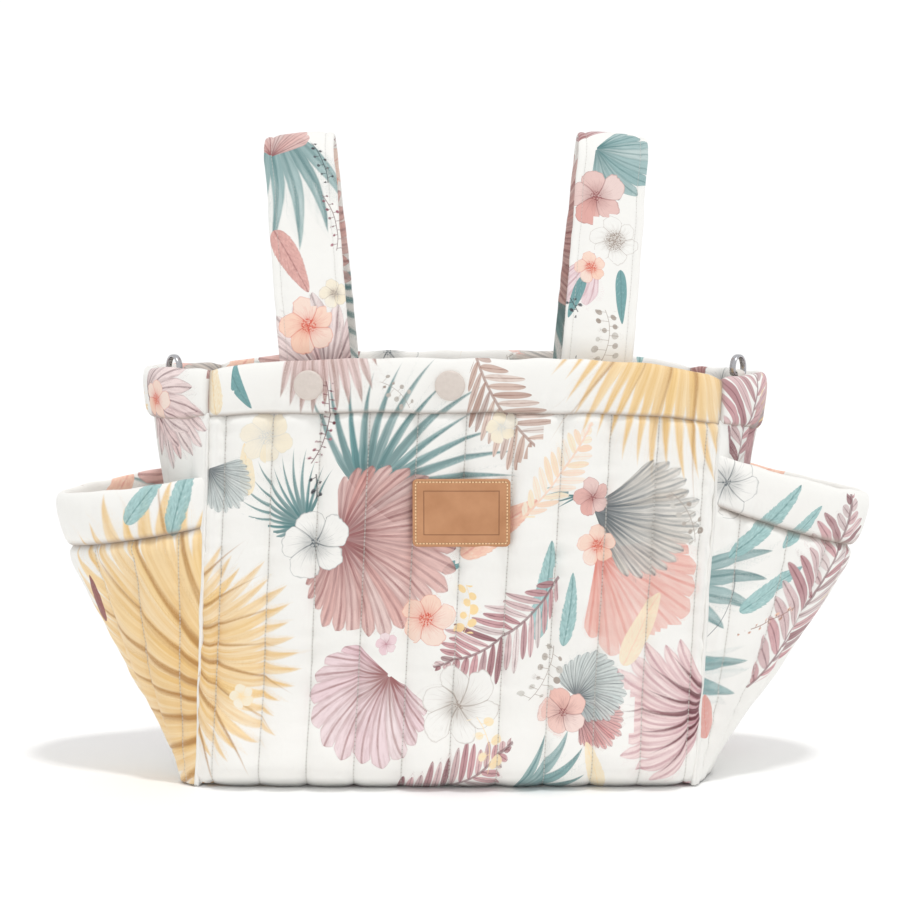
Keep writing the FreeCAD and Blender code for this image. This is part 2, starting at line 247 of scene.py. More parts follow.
def fan(place, shape, tint, ink):
    """A palm or pleated leaf: blades that spread from a hub, joined as far out as `join`."""
    x, y, seed = place
    spread, blades, join = shape
    radius = radius_of(x, y)
    curl = (dice(seed)[0] - 0.5) * 0.5
    share = (sums("ARCTAN2", x, y) + curl * radius * radius) / spread
    position = (share * 0.5 + 0.5) * blades
    blade = sums("FLOOR", position)
    across = position - blade - 0.5
    one, two, three = dice(blade * 3.7 + seed)
    ragged = 0.32 - join * 0.25
    length = (1 - ragged * one) * (1 - share * share * (join * spread * 0.28 + 0.05))
    run = radius / length
    pitch = spread / blades
    taper = (highest(1 - run, 0.0) / (1 - join)) ** 0.62
    half = pitch * length * join * lowest(run / join, taper)
    away = abs(across) * pitch * 2 * radius
    room = half - away
    whole = ramp(run, join, join - 0.12) * SOFT
    cover = ramp(room + whole, 0.0, SOFT) * over(1.0, abs(share)) * over(radius, 0.02)
    streak = cloud(vector(across * 3 + blade * 7, radius * 2.6, seed), 2.2, 3.0, 0.6)
    body = blend_colours(two * 0.40, tint, WHITE)
    rib = ramp(abs(across + (three - 0.5) * 0.2) * pitch * radius, 0.009, 0.002) * 0.6
    rim = ramp(room, 0.028, 0.004) * 0.34
    hub = ramp(run, 0.60, 0.0) * (0.62 - join * 0.5)
    deep = highest(three - 0.5, 0.0) * (1.3 - join * 1.2)
    dark = hub + deep + rib + rim + (streak - 0.46) * 1.15
    return blend_colours(dark, body, ink), cover * (one * 0.16 + 0.84)


def frond(place, shape, tint, ink):
    """A feather leaf: leaflets swept along both sides of a bending stem."""
    x, y, seed = place
    width, leaflets, bend = shape
    x = x + bend * (y * y - 0.5)
    side = over(x, 0.0)
    reach = abs(x)
    root = y - reach * 0.75
    position = root * leaflets * 0.5 + side * 0.5
    leaflet = sums("FLOOR", position)
    across = abs(position - leaflet - 0.5) * 2 / leaflets
    one, two, three = dice(leaflet * 2.3 + side * 31.7 + seed)
    length = width * (one * 0.3 + 0.7) * ramp(root, 0.92, 0.1, 0.12, 1.0) * ramp(root, -1.0, -0.5, 0.3, 1.0)
    run = reach / length
    half = (0.98 / leaflets) * (highest(run * (1 - run) * 4, 0.0) ** 0.45)
    room = half - across
    inside = ramp(room, 0.0, SOFT) * over(1.0, run) * over(0.9, abs(root))
    stem = ramp(reach, 0.024, 0.010) * over(0.93, abs(y))
    streak = cloud(vector(run * 3 + leaflet * 5, across * 20, seed), 1.6, 2.0)
    body = blend_colours(two * two * 0.9, tint, ink)
    pale = blend_colours(highest(three - 0.45, 0.0) * 1.3, body, WHITE)
    dark = ramp(across, 0.012, 0.002) * 0.5 + ramp(room, 0.02, 0.0) * 0.25 + (streak - 0.5) * 0.8
    return blend_colours(highest(dark, stem * 0.7), pale, ink), highest(inside, stem * 0.8)


def plume(place, shape, tint, ink):
    """A soft feathery leaf with streaks along it and ragged sides."""
    x, y, seed = place
    width, rag, lean = shape
    x = x + lean * (y * y - 0.4)
    hair = cloud(vector(x * 4 - y * 3 * sums("SIGN", x), y * 7 + abs(x) * -9, seed), 2.4, 3.0, 0.65)
    taper = width * (highest(1 - y * y, 0.0) ** 0.5) * (y * -0.32 + 0.85)
    room = taper * (1 - rag * hair) - abs(x)
    streak = cloud(vector(x * 9, y * 5 + abs(x) * -7, seed + 4.0), 2.0, 3.0, 0.7)
    dark = (streak - 0.42) * 1.5 + ramp(abs(x), 0.03, 0.006) * 0.45 + ramp(room, 0.04, 0.0) * 0.2
    return blend_colours(dark, tint, ink), ramp(room, 0.0, SOFT * 1.6) * ramp(streak, 0.2, 0.42, 0.35, 0.95)


def flower(place, shape, tint, ink):
    """A flower face on: rounded petals with fine veins round an inked middle."""
    x, y, seed = place
    petals, notch, eye = shape
    radius = radius_of(x, y)
    angle = sums("ARCTAN2", x, y) + radius * 0.35
    position = angle * petals / (2 * math.pi) + 0.5
    petal = sums("FLOOR", position)
    across = position - petal - 0.5
    one, two, _ = dice(petal * 5.1 + seed)
    wobble = cloud(vector(x, y, seed), 3.0, 2.0)
    length = (1 - notch * abs(across) ** 2.2 * 4) * (one * 0.15 + 0.80) * (wobble * 0.3 + 0.85)
    room = length - radius
    edge = ramp(room, 0.05, 0.01) * 0.5 + ramp(abs(abs(across) - 0.5) * radius, 0.02, 0.004) * 0.45
    veins = ramp(cloud(vector(across * 14 + petal * 3, radius * 1.4, seed), 2.0, 2.0), 0.52, 0.66) * 0.35
    heart = ramp(radius, eye, eye * 0.4)
    dots = ramp(cloud(vector(x, y, seed + 3.0), 22.0, 1.0), 0.48, 0.60)
    dark = edge + veins * ramp(radius, 0.9, 0.2) + ramp(radius, 0.55, 0.12) * 0.35 + heart * dots
    return blend_colours(dark, blend_colours(two * 0.5, tint, WHITE), ink), ramp(room, 0.0, SOFT * 1.5)


def sprig(place, shape, tint, ink):
    """A thin stem with small berries or seeds up both sides."""
    x, y, seed = place
    width, berries, size = shape
    x = x + (y * y - 0.5) * 0.25
    side = over(x, 0.0)
    position = y * berries * 0.5 + side * 0.5
    berry = sums("FLOOR", position)
    along = (position - berry - 0.5) * 2 / berries
    one, two, three = dice(berry * 4.3 + side * 17.9 + seed)
    off = abs(x) - width * (one * 0.8 + 0.5)
    room = size * (two * 0.5 + 0.6) - radius_of(off, along + (three - 0.5) * 0.02)
    spots = ramp(room, 0.0, SOFT * 2) * over(0.9, abs(y))
    stem = ramp(abs(x), 0.018, 0.006) * over(0.92, abs(y))
    twig = ramp(abs(along), 0.014, 0.004) * over(width, abs(x)) * over(0.9, abs(y))
    body = blend_colours(three, tint, ink)
    return blend_colours(highest(stem, twig), body, ink), highest(spots, highest(stem, twig) * 0.75)


GROUPS = {
    "fan_back": motif_group("fan_motif", fan),
    "plume": motif_group("plume_motif", plume),
    "frond": motif_group("frond_motif", frond),
    "flower": motif_group("flower_motif", flower),
    "sprig": motif_group("sprig_motif", sprig),
}
GROUPS["fan_mid"] = GROUPS["fan_front"] = GROUPS["fan_back"]


def attribute(name):
    return add_node("ShaderNodeAttribute", attribute_name=name).outputs["Vector"]


WEAVE = 0.00055                  # pitch of the plain weave, in metres


def cloth_relief(coordinates, distance):
    """Fine plain weave with slubs, as a bump height."""
    u, v, _ = parts(coordinates)
    warp = sums("SINE", u * (2 * math.pi / WEAVE))
    weft = sums("SINE", v * (2 * math.pi / WEAVE))
    slub = cloud(coordinates, 900.0, 2.0)
    crumple = cloud(coordinates, 60.0, 3.0)
    return (warp * weft * 0.25 + slub * 0.5) * distance + crumple * 0.0012


def new_material(name):
    material = bpy.data.materials.new(name)
    material.use_nodes = True
    Field.tree = material.node_tree
    return material, material.node_tree.nodes["Principled BSDF"]


def finish_cloth(shader, colour, height, roughness=0.85, sheen=0.25):
    plug(shader.inputs["Base Color"], colour)
    shader.inputs["Roughness"].default_value = roughness
    shader.inputs["Sheen Weight"].default_value = sheen
    shader.inputs["Sheen Roughness"].default_value = 0.5
    shader.inputs["Specular IOR Level"].default_value = 0.25
    bump = add_node("ShaderNodeBump")
    bump.inputs["Strength"].default_value = 0.6
    bump.inputs["Distance"].default_value = 1.0
    plug(bump.inputs["Height"], height)
    plug(shader.inputs["Normal"], bump.outputs[0])


def stitching(seam, pitch, half_wide):
    """Stitches along the sewn lines and the dips beside them. `seam` holds the distance from the line and
    the run along it, in mm, and how deep in a sewn fold the point lies, which sets a painted shade."""
    away, along, crease_shade = parts(seam)
    pace = sums("FRACT", along / pitch)
    thread = ramp(away, half_wide, half_wide * 0.55) * ramp(abs(pace - 0.5), 0.38, 0.30)
    hole = ramp(away, half_wide * 1.2, half_wide * 0.4) * ramp(abs(pace - 0.5), 0.36, 0.45)
    return thread, hole, crease_shade


def printed_cotton():
    material, shader = new_material("printed_cotton")
    uv = add_node("ShaderNodeUVMap", uv_map="cloth").outputs[0]
    wash = cloud(uv, 14.0, 3.0)
    colour = blend_colours(ramp(wash, 0.52, 0.75) * 0.25, WHITE, srgb(236, 231, 226))
    for layer in LAYERS:
        node = add_node("ShaderNodeGroup", node_tree=GROUPS[layer])
        plug(node.inputs["Under"], colour)
        for label in ("Place", "Shape", "Tint", "Ink"):
            plug(node.inputs[label], attribute(layer + "_" + label.lower()))
        colour = node.outputs[0]
    thread, hole, crease_shade = stitching(attribute("seam"), 2.5, 0.50)
    # Painted shade: the needle holes and the sewn folds are darkened towards taupe.
    colour = blend_colours(highest(hole * 0.7, crease_shade * 0.75), colour, TAUPE)
    colour = blend_colours(thread * 0.6, colour, GREY)
    finish_cloth(shader, colour, cloth_relief(uv, 0.00010) + thread * 0.00018 - hole * 0.0003)
    return material


# --- Cloth meshes ---

NO_STITCH = 9.0                  # a distance from a seam at which none of its stitching shows

def lean(point):
    """The front has slumped sideways: a shear that fades out towards the middle of the bag."""
    share = min(max((-point.y - 32) / 30, 0.0), 1.0)
    return Vector((point.x + 7 * share * (2 * point.z / HEIGHT - 1), point.y, point.z))


def new_object(name, vertices, faces, uvs, material, seams=None):
    """A smooth mesh from points in mm; uvs holds one (u, v) in mm for each corner of each face."""
    mesh = bpy.data.meshes.new(name)
    mesh.from_pydata([tuple(point * MM) for point in vertices], [], faces)
    layer = mesh.uv_layers.new(name="cloth")
    layer.data.foreach_set("uv", np.asarray(uvs, dtype=float).ravel() * MM)
    if seams is not None:
        mesh.attributes.new("seam", "FLOAT_VECTOR", "POINT").data.foreach_set("vector", np.ravel(seams))
    shell = bmesh.new()
    shell.from_mesh(mesh)
    bmesh.ops.recalc_face_normals(shell, faces=shell.faces)
    shell.to_mesh(mesh)
    shell.free()
    mesh.polygons.foreach_set("use_smooth", [True] * len(faces))
    mesh.materials.append(material)
    mesh.update()
    obj = bpy.data.objects.new(name, mesh)
    bpy.context.scene.collection.objects.link(obj)
    return obj


def grid_normals(rows, loop):
    """Unit normals over a grid of points; loop says that each row closes on itself."""
    grid = np.array([[tuple(point) for point in row] for row in rows])
    if loop:
        across = np.roll(grid, -1, axis=1) - np.roll(grid, 1, axis=1)
    else:
        across = np.gradient(grid, axis=1)
    up = np.gradient(grid, axis=0)
    normal = np.cross(across, up)
    return normal / np.maximum(np.linalg.norm(normal, axis=2, keepdims=True), 1e-9)


def slab(name, us, vs, place, material, thickness=2.0, cloth=None, seam=None, shape=lean):
    """A closed sheet of cloth over a grid of (u, v). place gives its outer side, cloth its flat place."""
    cloth = cloth or (lambda u, v: (u, v))
    rows = [[shape(Vector(place(u, v))) for u in us] for v in vs]
    normals = grid_normals(rows, False)
    outer = [point for row in rows for point in row]
    inner = [point - Vector(normals[j][i]) * thickness
             for j, row in enumerate(rows) for i, point in enumerate(row)]
    wide, tall = len(us), len(vs)
    flat = [cloth(u, v) for v in vs for u in us] * 2
    seams = [seam(u, v) if seam else (NO_STITCH, 0.0, 0.0) for v in vs for u in us] * 2
    faces = []
    back = wide * tall
    for j in range(tall - 1):
        for i in range(wide - 1):
            a = j * wide + i
            faces.append((a, a + 1, a + wide + 1, a + wide))
            faces.append((a + back, a + wide + back, a + wide + 1 + back, a + 1 + back))
    rim = list(range(wide)) + [j * wide + wide - 1 for j in range(1, tall)]
    rim += [(tall - 1) * wide + i for i in range(wide - 2, -1, -1)]
    rim += [j * wide for j in range(tall - 2, 0, -1)]
    for a, b in zip(rim, rim[1:] + rim[:1]):
        faces.append((b, a, a + back, b + back))
    uvs = [flat[corner] for face in faces for corner in face]
    return new_object(name, outer + inner, faces, uvs, material, seams)


def tube(name, sections, flats, material, seams=None, shape=lean, caps=True):
    """A closed roll: rings of points along a path, with the flat place of each point."""
    rings, count = len(sections), len(sections[0])
    vertices = [shape(Vector(point)) for ring in sections for point in ring]
    flat = [place for ring in flats for place in ring]
    faces, uvs = [], []
    for j in range(rings - 1):
        for i in range(count):
            k = (i + 1) % count
            face = (j * count + i, j * count + k, (j + 1) * count + k, (j + 1) * count + i)
            faces.append(face)
            uvs += [flat[corner] for corner in face]
    if caps:
        for start, ring in ((0, list(range(count))[::-1]), ((rings - 1) * count, list(range(count)))):
            face = tuple(start + i for i in ring)
            faces.append(face)
            uvs += [flat[corner] for corner in face]
    seams = [entry for ring in seams for entry in ring] if seams else [(NO_STITCH, 0.0, 0.0)] * len(vertices)
    return new_object(name, vertices, faces, uvs, material, seams)


def motif(layer, centre, radius, turn, shape, tint, ink):
    """One motif: its middle and radius on the cloth in mm, and its turn clockwise from upright."""
    return {"layer": layer, "centre": centre, "radius": radius, "turn": math.radians(turn), "shape": shape,
            "tint": tint, "ink": ink}


def covered(item, places):
    """Which places, in a motif's own units, its paint may reach."""
    x, y = places.T
    margin = 5 / item["radius"]
    reach = np.hypot(x, y)
    inside = reach < 1 + margin
    if item["layer"].startswith("fan"):
        spread, _, join = item["shape"]
        curl = 0.25 * reach ** 2
        angle = np.abs(np.arctan2(x, y))
        share = np.maximum(angle - curl, 0.0) / spread
        inside &= reach < 1 + margin - share ** 2 * (join * spread * 0.28 + 0.05)
        return inside & (angle < spread + curl + margin / np.maximum(reach, 0.05))
    if item["layer"] in ("plume", "frond"):
        return inside & (np.abs(x) < item["shape"][0] + abs(item["shape"][2]) * 0.6 + margin)
    if item["layer"] == "flower":
        return reach < 0.92 + 2.5 / item["radius"]
    return inside


def print_on(obj, motifs):
    """Writes which motif of each layer every face carries, and where on the motif its corners lie."""
    mesh = obj.data
    total = len(mesh.loops)
    flat = np.empty(total * 2)
    mesh.uv_layers["cloth"].data.foreach_get("uv", flat)
    flat = flat.reshape(-1, 2) / MM
    counts = np.empty(len(mesh.polygons), dtype=int)
    mesh.polygons.foreach_get("loop_total", counts)
    face_of = np.repeat(np.arange(len(counts)), counts)
    middle = np.stack([np.bincount(face_of, flat[:, k]) / counts for k in (0, 1)], axis=1)
    for layer in LAYERS:
        values = {"place": np.tile((9.0, 9.0, 0.0), (total, 1)),
                  "shape": np.tile((1.0, 5.0, 0.5), (total, 1)),
                  "tint": np.ones((total, 3)), "ink": np.ones((total, 3))}
        for number, item in enumerate(entry for entry in motifs if entry["layer"] == layer):
            sine, cosine = math.sin(item["turn"]), math.cos(item["turn"])
            turn = np.array(((cosine, sine), (-sine, cosine))) / item["radius"]
            local = (flat - item["centre"]) @ turn
            corners = covered(item, (middle - item["centre"]) @ turn)[face_of]
            seed = 1.0 + number * 1.37
            values["place"][corners] = np.c_[local[corners], np.full(corners.sum(), seed)]
            values["shape"][corners] = item["shape"]
            values["tint"][corners] = item["tint"][:3]
            values["ink"][corners] = item["ink"][:3]
        for label, data in values.items():
            store = mesh.attributes.new(layer + "_" + label, "FLOAT_VECTOR", "CORNER")
            store.data.foreach_set("vector", data.ravel())


def ripple(*place, size=1.0):
    """Smooth random number from about -1 to 1."""
    return noise.noise(Vector(place) / size)


def steps(start, end, count):
    return [start + (end - start) * index / count for index in range(count + 1)]


def smooth(value, start, end):
    share = min(max((value - start) / (end - start), 0.0), 1.0)
    return share * share * (3 - 2 * share)


def lerp(pair, share):
    return pair[0] + (pair[1] - pair[0]) * share


def signed_power(value, power):
    """The power of a number's size, with the number's own sign; it squares off a circle."""
    return math.copysign(abs(value) ** power, value)


# --- Where the walls run ---

CORNER_TOP = {"front_left": 271.0, "front_right": 265.0, "back_right": 268.0, "back_left": 270.0}
CORNER_SEAM = {"front_left": 241.0, "front_right": 236.0, "back_right": 238.0, "back_left": 240.0}
MIDDLE_TOP = {"front": HEIGHT, "right": 266.5, "back": HEIGHT, "left": 270.5}
MIDDLE_SEAM = {"front": SEAM, "right": 230.0, "back": SEAM, "left": 237.0}
WALLS = {                        # each wall's ends, in order round the mouth
    "front": ("front_left", "front_right"),
    "right": ("front_right", "back_right"),
    "back": ("back_right", "back_left"),
    "left": ("back_left", "front_left"),
}


def wall_height(wall, s, corners, middles):
    """Height of the mouth's top or seam at s, from -1 to 1 along one wall."""
    start, end = WALLS[wall]
    corner = corners[start] if s < 0 else corners[end]
    power = 3.5 if wall in ("front", "back") else 2.0
    return middles[wall] + (corner - middles[wall]) * abs(s) ** power


def wall_point(wall, s, z, out=0.0):
    """A point on a wall's outer surface at s and height z, moved out by `out`, and its outward normal."""
    share = z / HEIGHT
    half_width, depth = lerp(HALF_WIDTH, share), lerp(DEPTH, share)
    if wall in ("front", "back"):
        bulge = lerp(FRONT_BULGE, share)
        point = Vector((half_width * s, -depth - bulge * (1 - s * s), z))
        normal = Vector((2 * bulge * s / half_width, -1, 0)).normalized()
        turned = -1 if wall == "back" else 1
    else:
        bulge = lerp(SIDE_BULGE, share)
        radius = (depth * depth + bulge * bulge) / (2 * bulge)
        angle = math.asin(min(depth / radius, 1.0)) * s
        normal = Vector((math.cos(angle), math.sin(angle), 0))
        point = Vector((half_width + bulge - radius, 0, z)) + normal * radius
        turned = -1 if wall == "left" else 1
    point, normal = (Vector((turned * v.x, turned * v.y, v.z)) for v in (point, normal))
    return point + normal * out, normal


def half_length(wall):
    """Half of a wall's run at the mouth, for its flat cloth."""
    return FRONT_RUN if wall in ("front", "back") else SIDE_RUN


# --- Quilted front and back ---

LINES = [FIRST_LINE + QUILT_PITCH * index for index in range(11)]


def channel_columns():
    """Positions across a panel, closer together beside each quilting line."""
    edges = [-FRONT_RUN] + LINES + [FRONT_RUN]
    shares = (0.0, 0.035, 0.09, 0.17, 0.28, 0.42, 0.58, 0.72, 0.83, 0.91, 0.965)
    narrow = (0.0, 0.09, 0.28, 0.58, 0.83)
    columns = [a + (b - a) * share for a, b in zip(edges, edges[1:])
               for share in shares if b - a > 15 or share in narrow]
    return columns + [FRONT_RUN]


def nearest_line(u):
    """Distance to the nearest quilting line or side seam, and which it is."""
    edges = [-FRONT_RUN] + LINES + [FRONT_RUN]
    index = min(range(len(edges)), key=lambda k: abs(edges[k] - u))
    return abs(edges[index] - u), index


def quilt_height(u, z, top, seed):
    """How far the padded cloth stands out from its stitched lines."""
    away, line = nearest_line(u)
    puff = 6.2 * (1 - math.exp(-away / 5.2))
    tuck = smooth(z, top, top - 9) * smooth(z, -2, 18)
    gather = ripple(line * 7.3, z, seed, size=6.5) * math.exp(-away / 6) * 1.7
    pull = ripple(u / 2.2, z, seed + 5, size=11.0) * 1.5 * math.exp(-away / 16)
    slack = ripple(u, z, seed + 9, size=60.0) * 2.8
    top_gather = ripple(u, seed, 3.0, size=6.5) * 1.9 * smooth(z, top - 28, top - 4)
    low_gather = ripple(u, seed, 8.0, size=8.0) * smooth(z, 26, 4)
    return -1.4 + puff * (0.35 + 0.65 * tuck) + gather + pull + slack * tuck + top_gather + low_gather


def quilted_wall(wall, material, seed):
    """The padded front or back: vertical channels that round under at the ground."""
    def place(u, v):
        s = u / FRONT_RUN
        top = wall_height(wall, s, CORNER_SEAM, MIDDLE_SEAM) + 2.5
        low = 0.2 + 1.8 * math.exp(-nearest_line(u)[0] / 4.5) + 5.0 * math.exp(-(FRONT_RUN - abs(u)) / 6.0)
        z = low + (top - low) * v
        out = quilt_height(u, z, top, seed)
        inward = smooth(FRONT_RUN - abs(u), 0.0, 16.0)
        out += (10.0 * math.exp(-((z - 14) / 30) ** 2) - 13.0 * (1 - smooth(z, -3.0, 12.0))) * inward
        out -= 2.6 * smooth(z, top - 7, top - 1)
        return wall_point(wall, s, z, out)[0]

    def seam(u, v):
        away, line = nearest_line(u)
        sewn = 0 < line < len(LINES) + 1
        # The third value is painted shade in the fold just under the band.
        return away if sewn else NO_STITCH, v * SEAM, smooth(v * SEAM, SEAM - 5, SEAM - 1)

    rows = steps(0.0, 0.06, 4) + steps(0.06, 0.92, 84)[1:] + steps(0.92, 1.0, 9)[1:]
    return slab(wall + "_quilt", channel_columns(), rows, place, material, 3.0,
                cloth=lambda u, v: (u, v * SEAM), seam=seam)


# --- Padded band round the mouth ---

def roll_section(count, low_power):
    """Points round a padded roll, as (outward, up) from -1 to 1; a higher power is rounder at the seam."""
    section = []
    for index in range(count):
        angle = 2 * math.pi * index / count - math.pi / 2
        across, up = math.cos(angle), math.sin(angle)
        power = low_power if up < 0 else 0.80
        section.append((signed_power(across, power), signed_power(up, power)))
    return section


def mouth_band(wall, material, seed):
    """One padded stretch of the mouth band, pinched where it is sewn to the next."""
    length = half_length(wall)
    count = 150 if length > 100 else 76
    section = roll_section(32, 0.60)
    rings, flats, seams = [], [], []
    for s in steps(-1.0, 1.0, count):
        u = s * length
        end = (1 - abs(s)) * length
        top = wall_height(wall, s, CORNER_TOP, MIDDLE_TOP)
        bottom = wall_height(wall, s, CORNER_SEAM, MIDDLE_SEAM) - 1.0 + ripple(u, seed, 4.0, size=38.0) * 1.3
        pinch = 0.45 + 0.55 * smooth(end, -1.0, 9.0)
        ring, flat, line = [], [], []
        for across, up in section:
            share = (up + 1) / 2
            z = bottom + (top - bottom) * share
            fold = ripple(u, seed, 2.0, size=5.5) * 2.4 * (1 - smooth(share, 0.05, 0.6))
            swell = (ripple(u, share * 12, seed, size=24.0) * 1.1
                     + ripple(u, share * 20, seed, size=9.0) * 0.45)
            half = 6.4 * pinch
            out = -2.2 + half * across + (fold + swell) * max(across, 0.0)
            crown = ripple(u, seed, 6.0, size=22.0) * 1.3 * smooth(share, 0.5, 1.0)
            point = wall_point(wall, s, z, out)[0]
            ring.append(point + Vector((0, 0, crown * pinch - 2.5 * (1 - pinch) * smooth(share, 0.5, 1.0))))
            flat.append((u, z if across >= 0 else 2 * top - z))
            # Painted shade along the band's lower seam and at its pinched ends, passed on to the cloth's
            # colour.
            crease_shade = max(1 - smooth(share, 0.0, 0.09), 0.7 - 0.7 * smooth(end, 0.0, 3.0))
            line.append((NO_STITCH, u, crease_shade))
        rings.append(ring)
        flats.append(flat)
        seams.append(line)
    return tube(wall + "_rim", rings, flats, material, seams)


# --- Gussets, base and linings ---

def gusset(wall, material, seed):
    """A side of the body between its corner seams, in soft vertical channels."""
    length = half_length(wall)

    def place(s, v):
        top = wall_height(wall, s, CORNER_SEAM, MIDDLE_SEAM) + 1.5
        z = 1.0 + (top - 1.0) * v
        away = abs((s * 2.5) % 1.0 - 0.5)
        out = -1.6 + 2.6 * (1 - (2 * away) ** 3) + ripple(s * 30, z / 3, seed, size=9.0)
        out += ripple(s * length, seed, 2.0, size=6.0) * 1.3 * smooth(z, top - 34, top - 4)
        inward = smooth((1 - abs(s)) * length, 0.0, 14.0)
        return wall_point(wall, s, z, out - 5.0 * (1 - smooth(z, 0.0, 12.0)) * inward)[0]

    def cloth(s, v):
        return s * length, place(s, v).z

    return slab(wall + "_side", steps(-1.0, 1.0, 60), steps(0.0, 1.0, 70), place, material, 3.0, cloth=cloth)


def quilted_base(material):
    """The cloth under the bag, in the same channels as the front."""
    def place(u, v):
        half_depth = DEPTH[0] - 1.5
        away = nearest_line(u)[0]
        bulge = FRONT_BULGE[0] * (1 - (u / FRONT_RUN) ** 2)
        edge = smooth(1 - abs(v), 0.0, 0.12)
        sag = 1.3 * math.exp(-away / 4) + 1.6 * (1 - edge)
        return (u / FRONT_RUN * (HALF_WIDTH[0] - 1), -v * (half_depth + bulge), 0.15 + sag)

    return slab("base_quilt", channel_columns(), steps(-1.0, 1.0, 40), place, material, 1.8,
                cloth=lambda u, v: (u, v * 71.0), seam=lambda u, v: (nearest_line(u)[0], v * 71.0, 0.0))


def lining(wall, material, seed):
    """Plain lining that hangs inside one wall, with soft folds."""
    length = half_length(wall) - 6.5

    def place(s, v):
        top = wall_height(wall, s, CORNER_SEAM, MIDDLE_SEAM) + 4.0
        z = 7.0 + (top - 7.0) * v
        fold = (ripple(s * length, z / 4, seed, size=26.0) * 1.1
                + ripple(s * length, z / 2, seed, size=9.0) * 0.35)
        return wall_point(wall, s * 0.975, z, -8.4 - abs(fold))[0]

    return slab(wall + "_inside", steps(-1.0, 1.0, 70), steps(0.0, 1.0, 56), place, material, 1.0,
                cloth=lambda s, v: (s * length, v * SEAM))


def lining_floor(material):
    """The lining over the board, turned up a little at its edges."""
    def place(u, v):
        depth = DEPTH[0] - 11.0
        wave = ripple(u, v * depth, 4.0, size=30.0) * 0.5
        return (u, v * (depth + FRONT_BULGE[0] * (1 - (u / FRONT_RUN) ** 2)), 7.4 + wave)

    return slab("floor_inside", steps(-151.0, 151.0, 60), steps(-1.0, 1.0, 30), place, material, 1.2,
                cloth=lambda u, v: (u, v * 60.0))


SLIP_HALF, SLIP_LOW, SLIP_TALL = 100.0, 60.0, 130.0


def slip_pouch(material):
    """An open pocket sewn on the back lining, that stands away from it at its top."""
    def place(u, v):
        z = SLIP_LOW + SLIP_TALL * v
        side = smooth(SLIP_HALF - abs(u), 0.0, 12.0) * smooth(v, 0.0, 0.12)
        stand = 9.4 + (1.5 + 8.0 * v) * side + ripple(u, z, 3.0, size=30.0) * 0.7 * side
        return wall_point("back", -u / FRONT_RUN, z, -stand)[0]

    return slab("slip_pouch", steps(-SLIP_HALF, SLIP_HALF, 60), steps(0.0, 1.0, 34), place, material, 1.2,
                cloth=lambda u, v: (u, v * SLIP_TALL))


# --- Flared side pockets ---

REACH = {                        # how far each pocket reaches past the corner seams, by height
    "left": ((0, 19), (26, 34), (53, 47), (80, 60), (107, 77), (134, 91), (160, 98), (190, 102), (216, 104)),
    "right": ((0, 9), (26, 23), (53, 42), (80, 60), (107, 79), (134, 96), (160, 106), (190, 112), (216, 116)),
}
REACH_CURVE = {side: np.polyfit(*zip(*pairs), 4) for side, pairs in REACH.items()}
MOUTH = {"left": (205.0, 186.0, 201.5), "right": (216.0, 186.0, 211.0)}   # first seam, tip, last seam
HEM = (33.0, 36.0)               # height of the hem at the seams and at the tip
POCKET_LINES = [-0.872, -0.624, -0.376, -0.128, 0.128, 0.376, 0.624, 0.872]
TURNS = np.linspace(0, math.pi / 2, 25)


def pocket_point(side, s, z, out=0.0):
    """A point of the pocket's outer side at a share s of its run each way from the tip, and that half run."""
    share = z / HEIGHT
    half_width, depth = lerp(HALF_WIDTH, share), lerp(DEPTH, share)
    reach = float(np.polyval(REACH_CURVE[side], z))
    speed = np.hypot(reach * np.sin(TURNS), depth * np.cos(TURNS))
    run = np.concatenate(([0.0], np.cumsum((speed[1:] + speed[:-1]) / 2 * np.diff(TURNS))))
    turn = math.copysign(float(np.interp(abs(s) * run[-1], run, TURNS)), s)
    normal = Vector((depth * math.cos(turn), reach * math.sin(turn), 0)).normalized()
    point = Vector((half_width + reach * math.cos(turn), depth * math.sin(turn), z)) + normal * out
    sign = -1 if side == "left" else 1
    return Vector((sign * point.x, sign * point.y, z)), float(run[-1])


def mouth_height(side, s):
    first, tip, last = MOUTH[side]
    return tip + ((first if s < 0 else last) - tip) * abs(s) ** 1.6


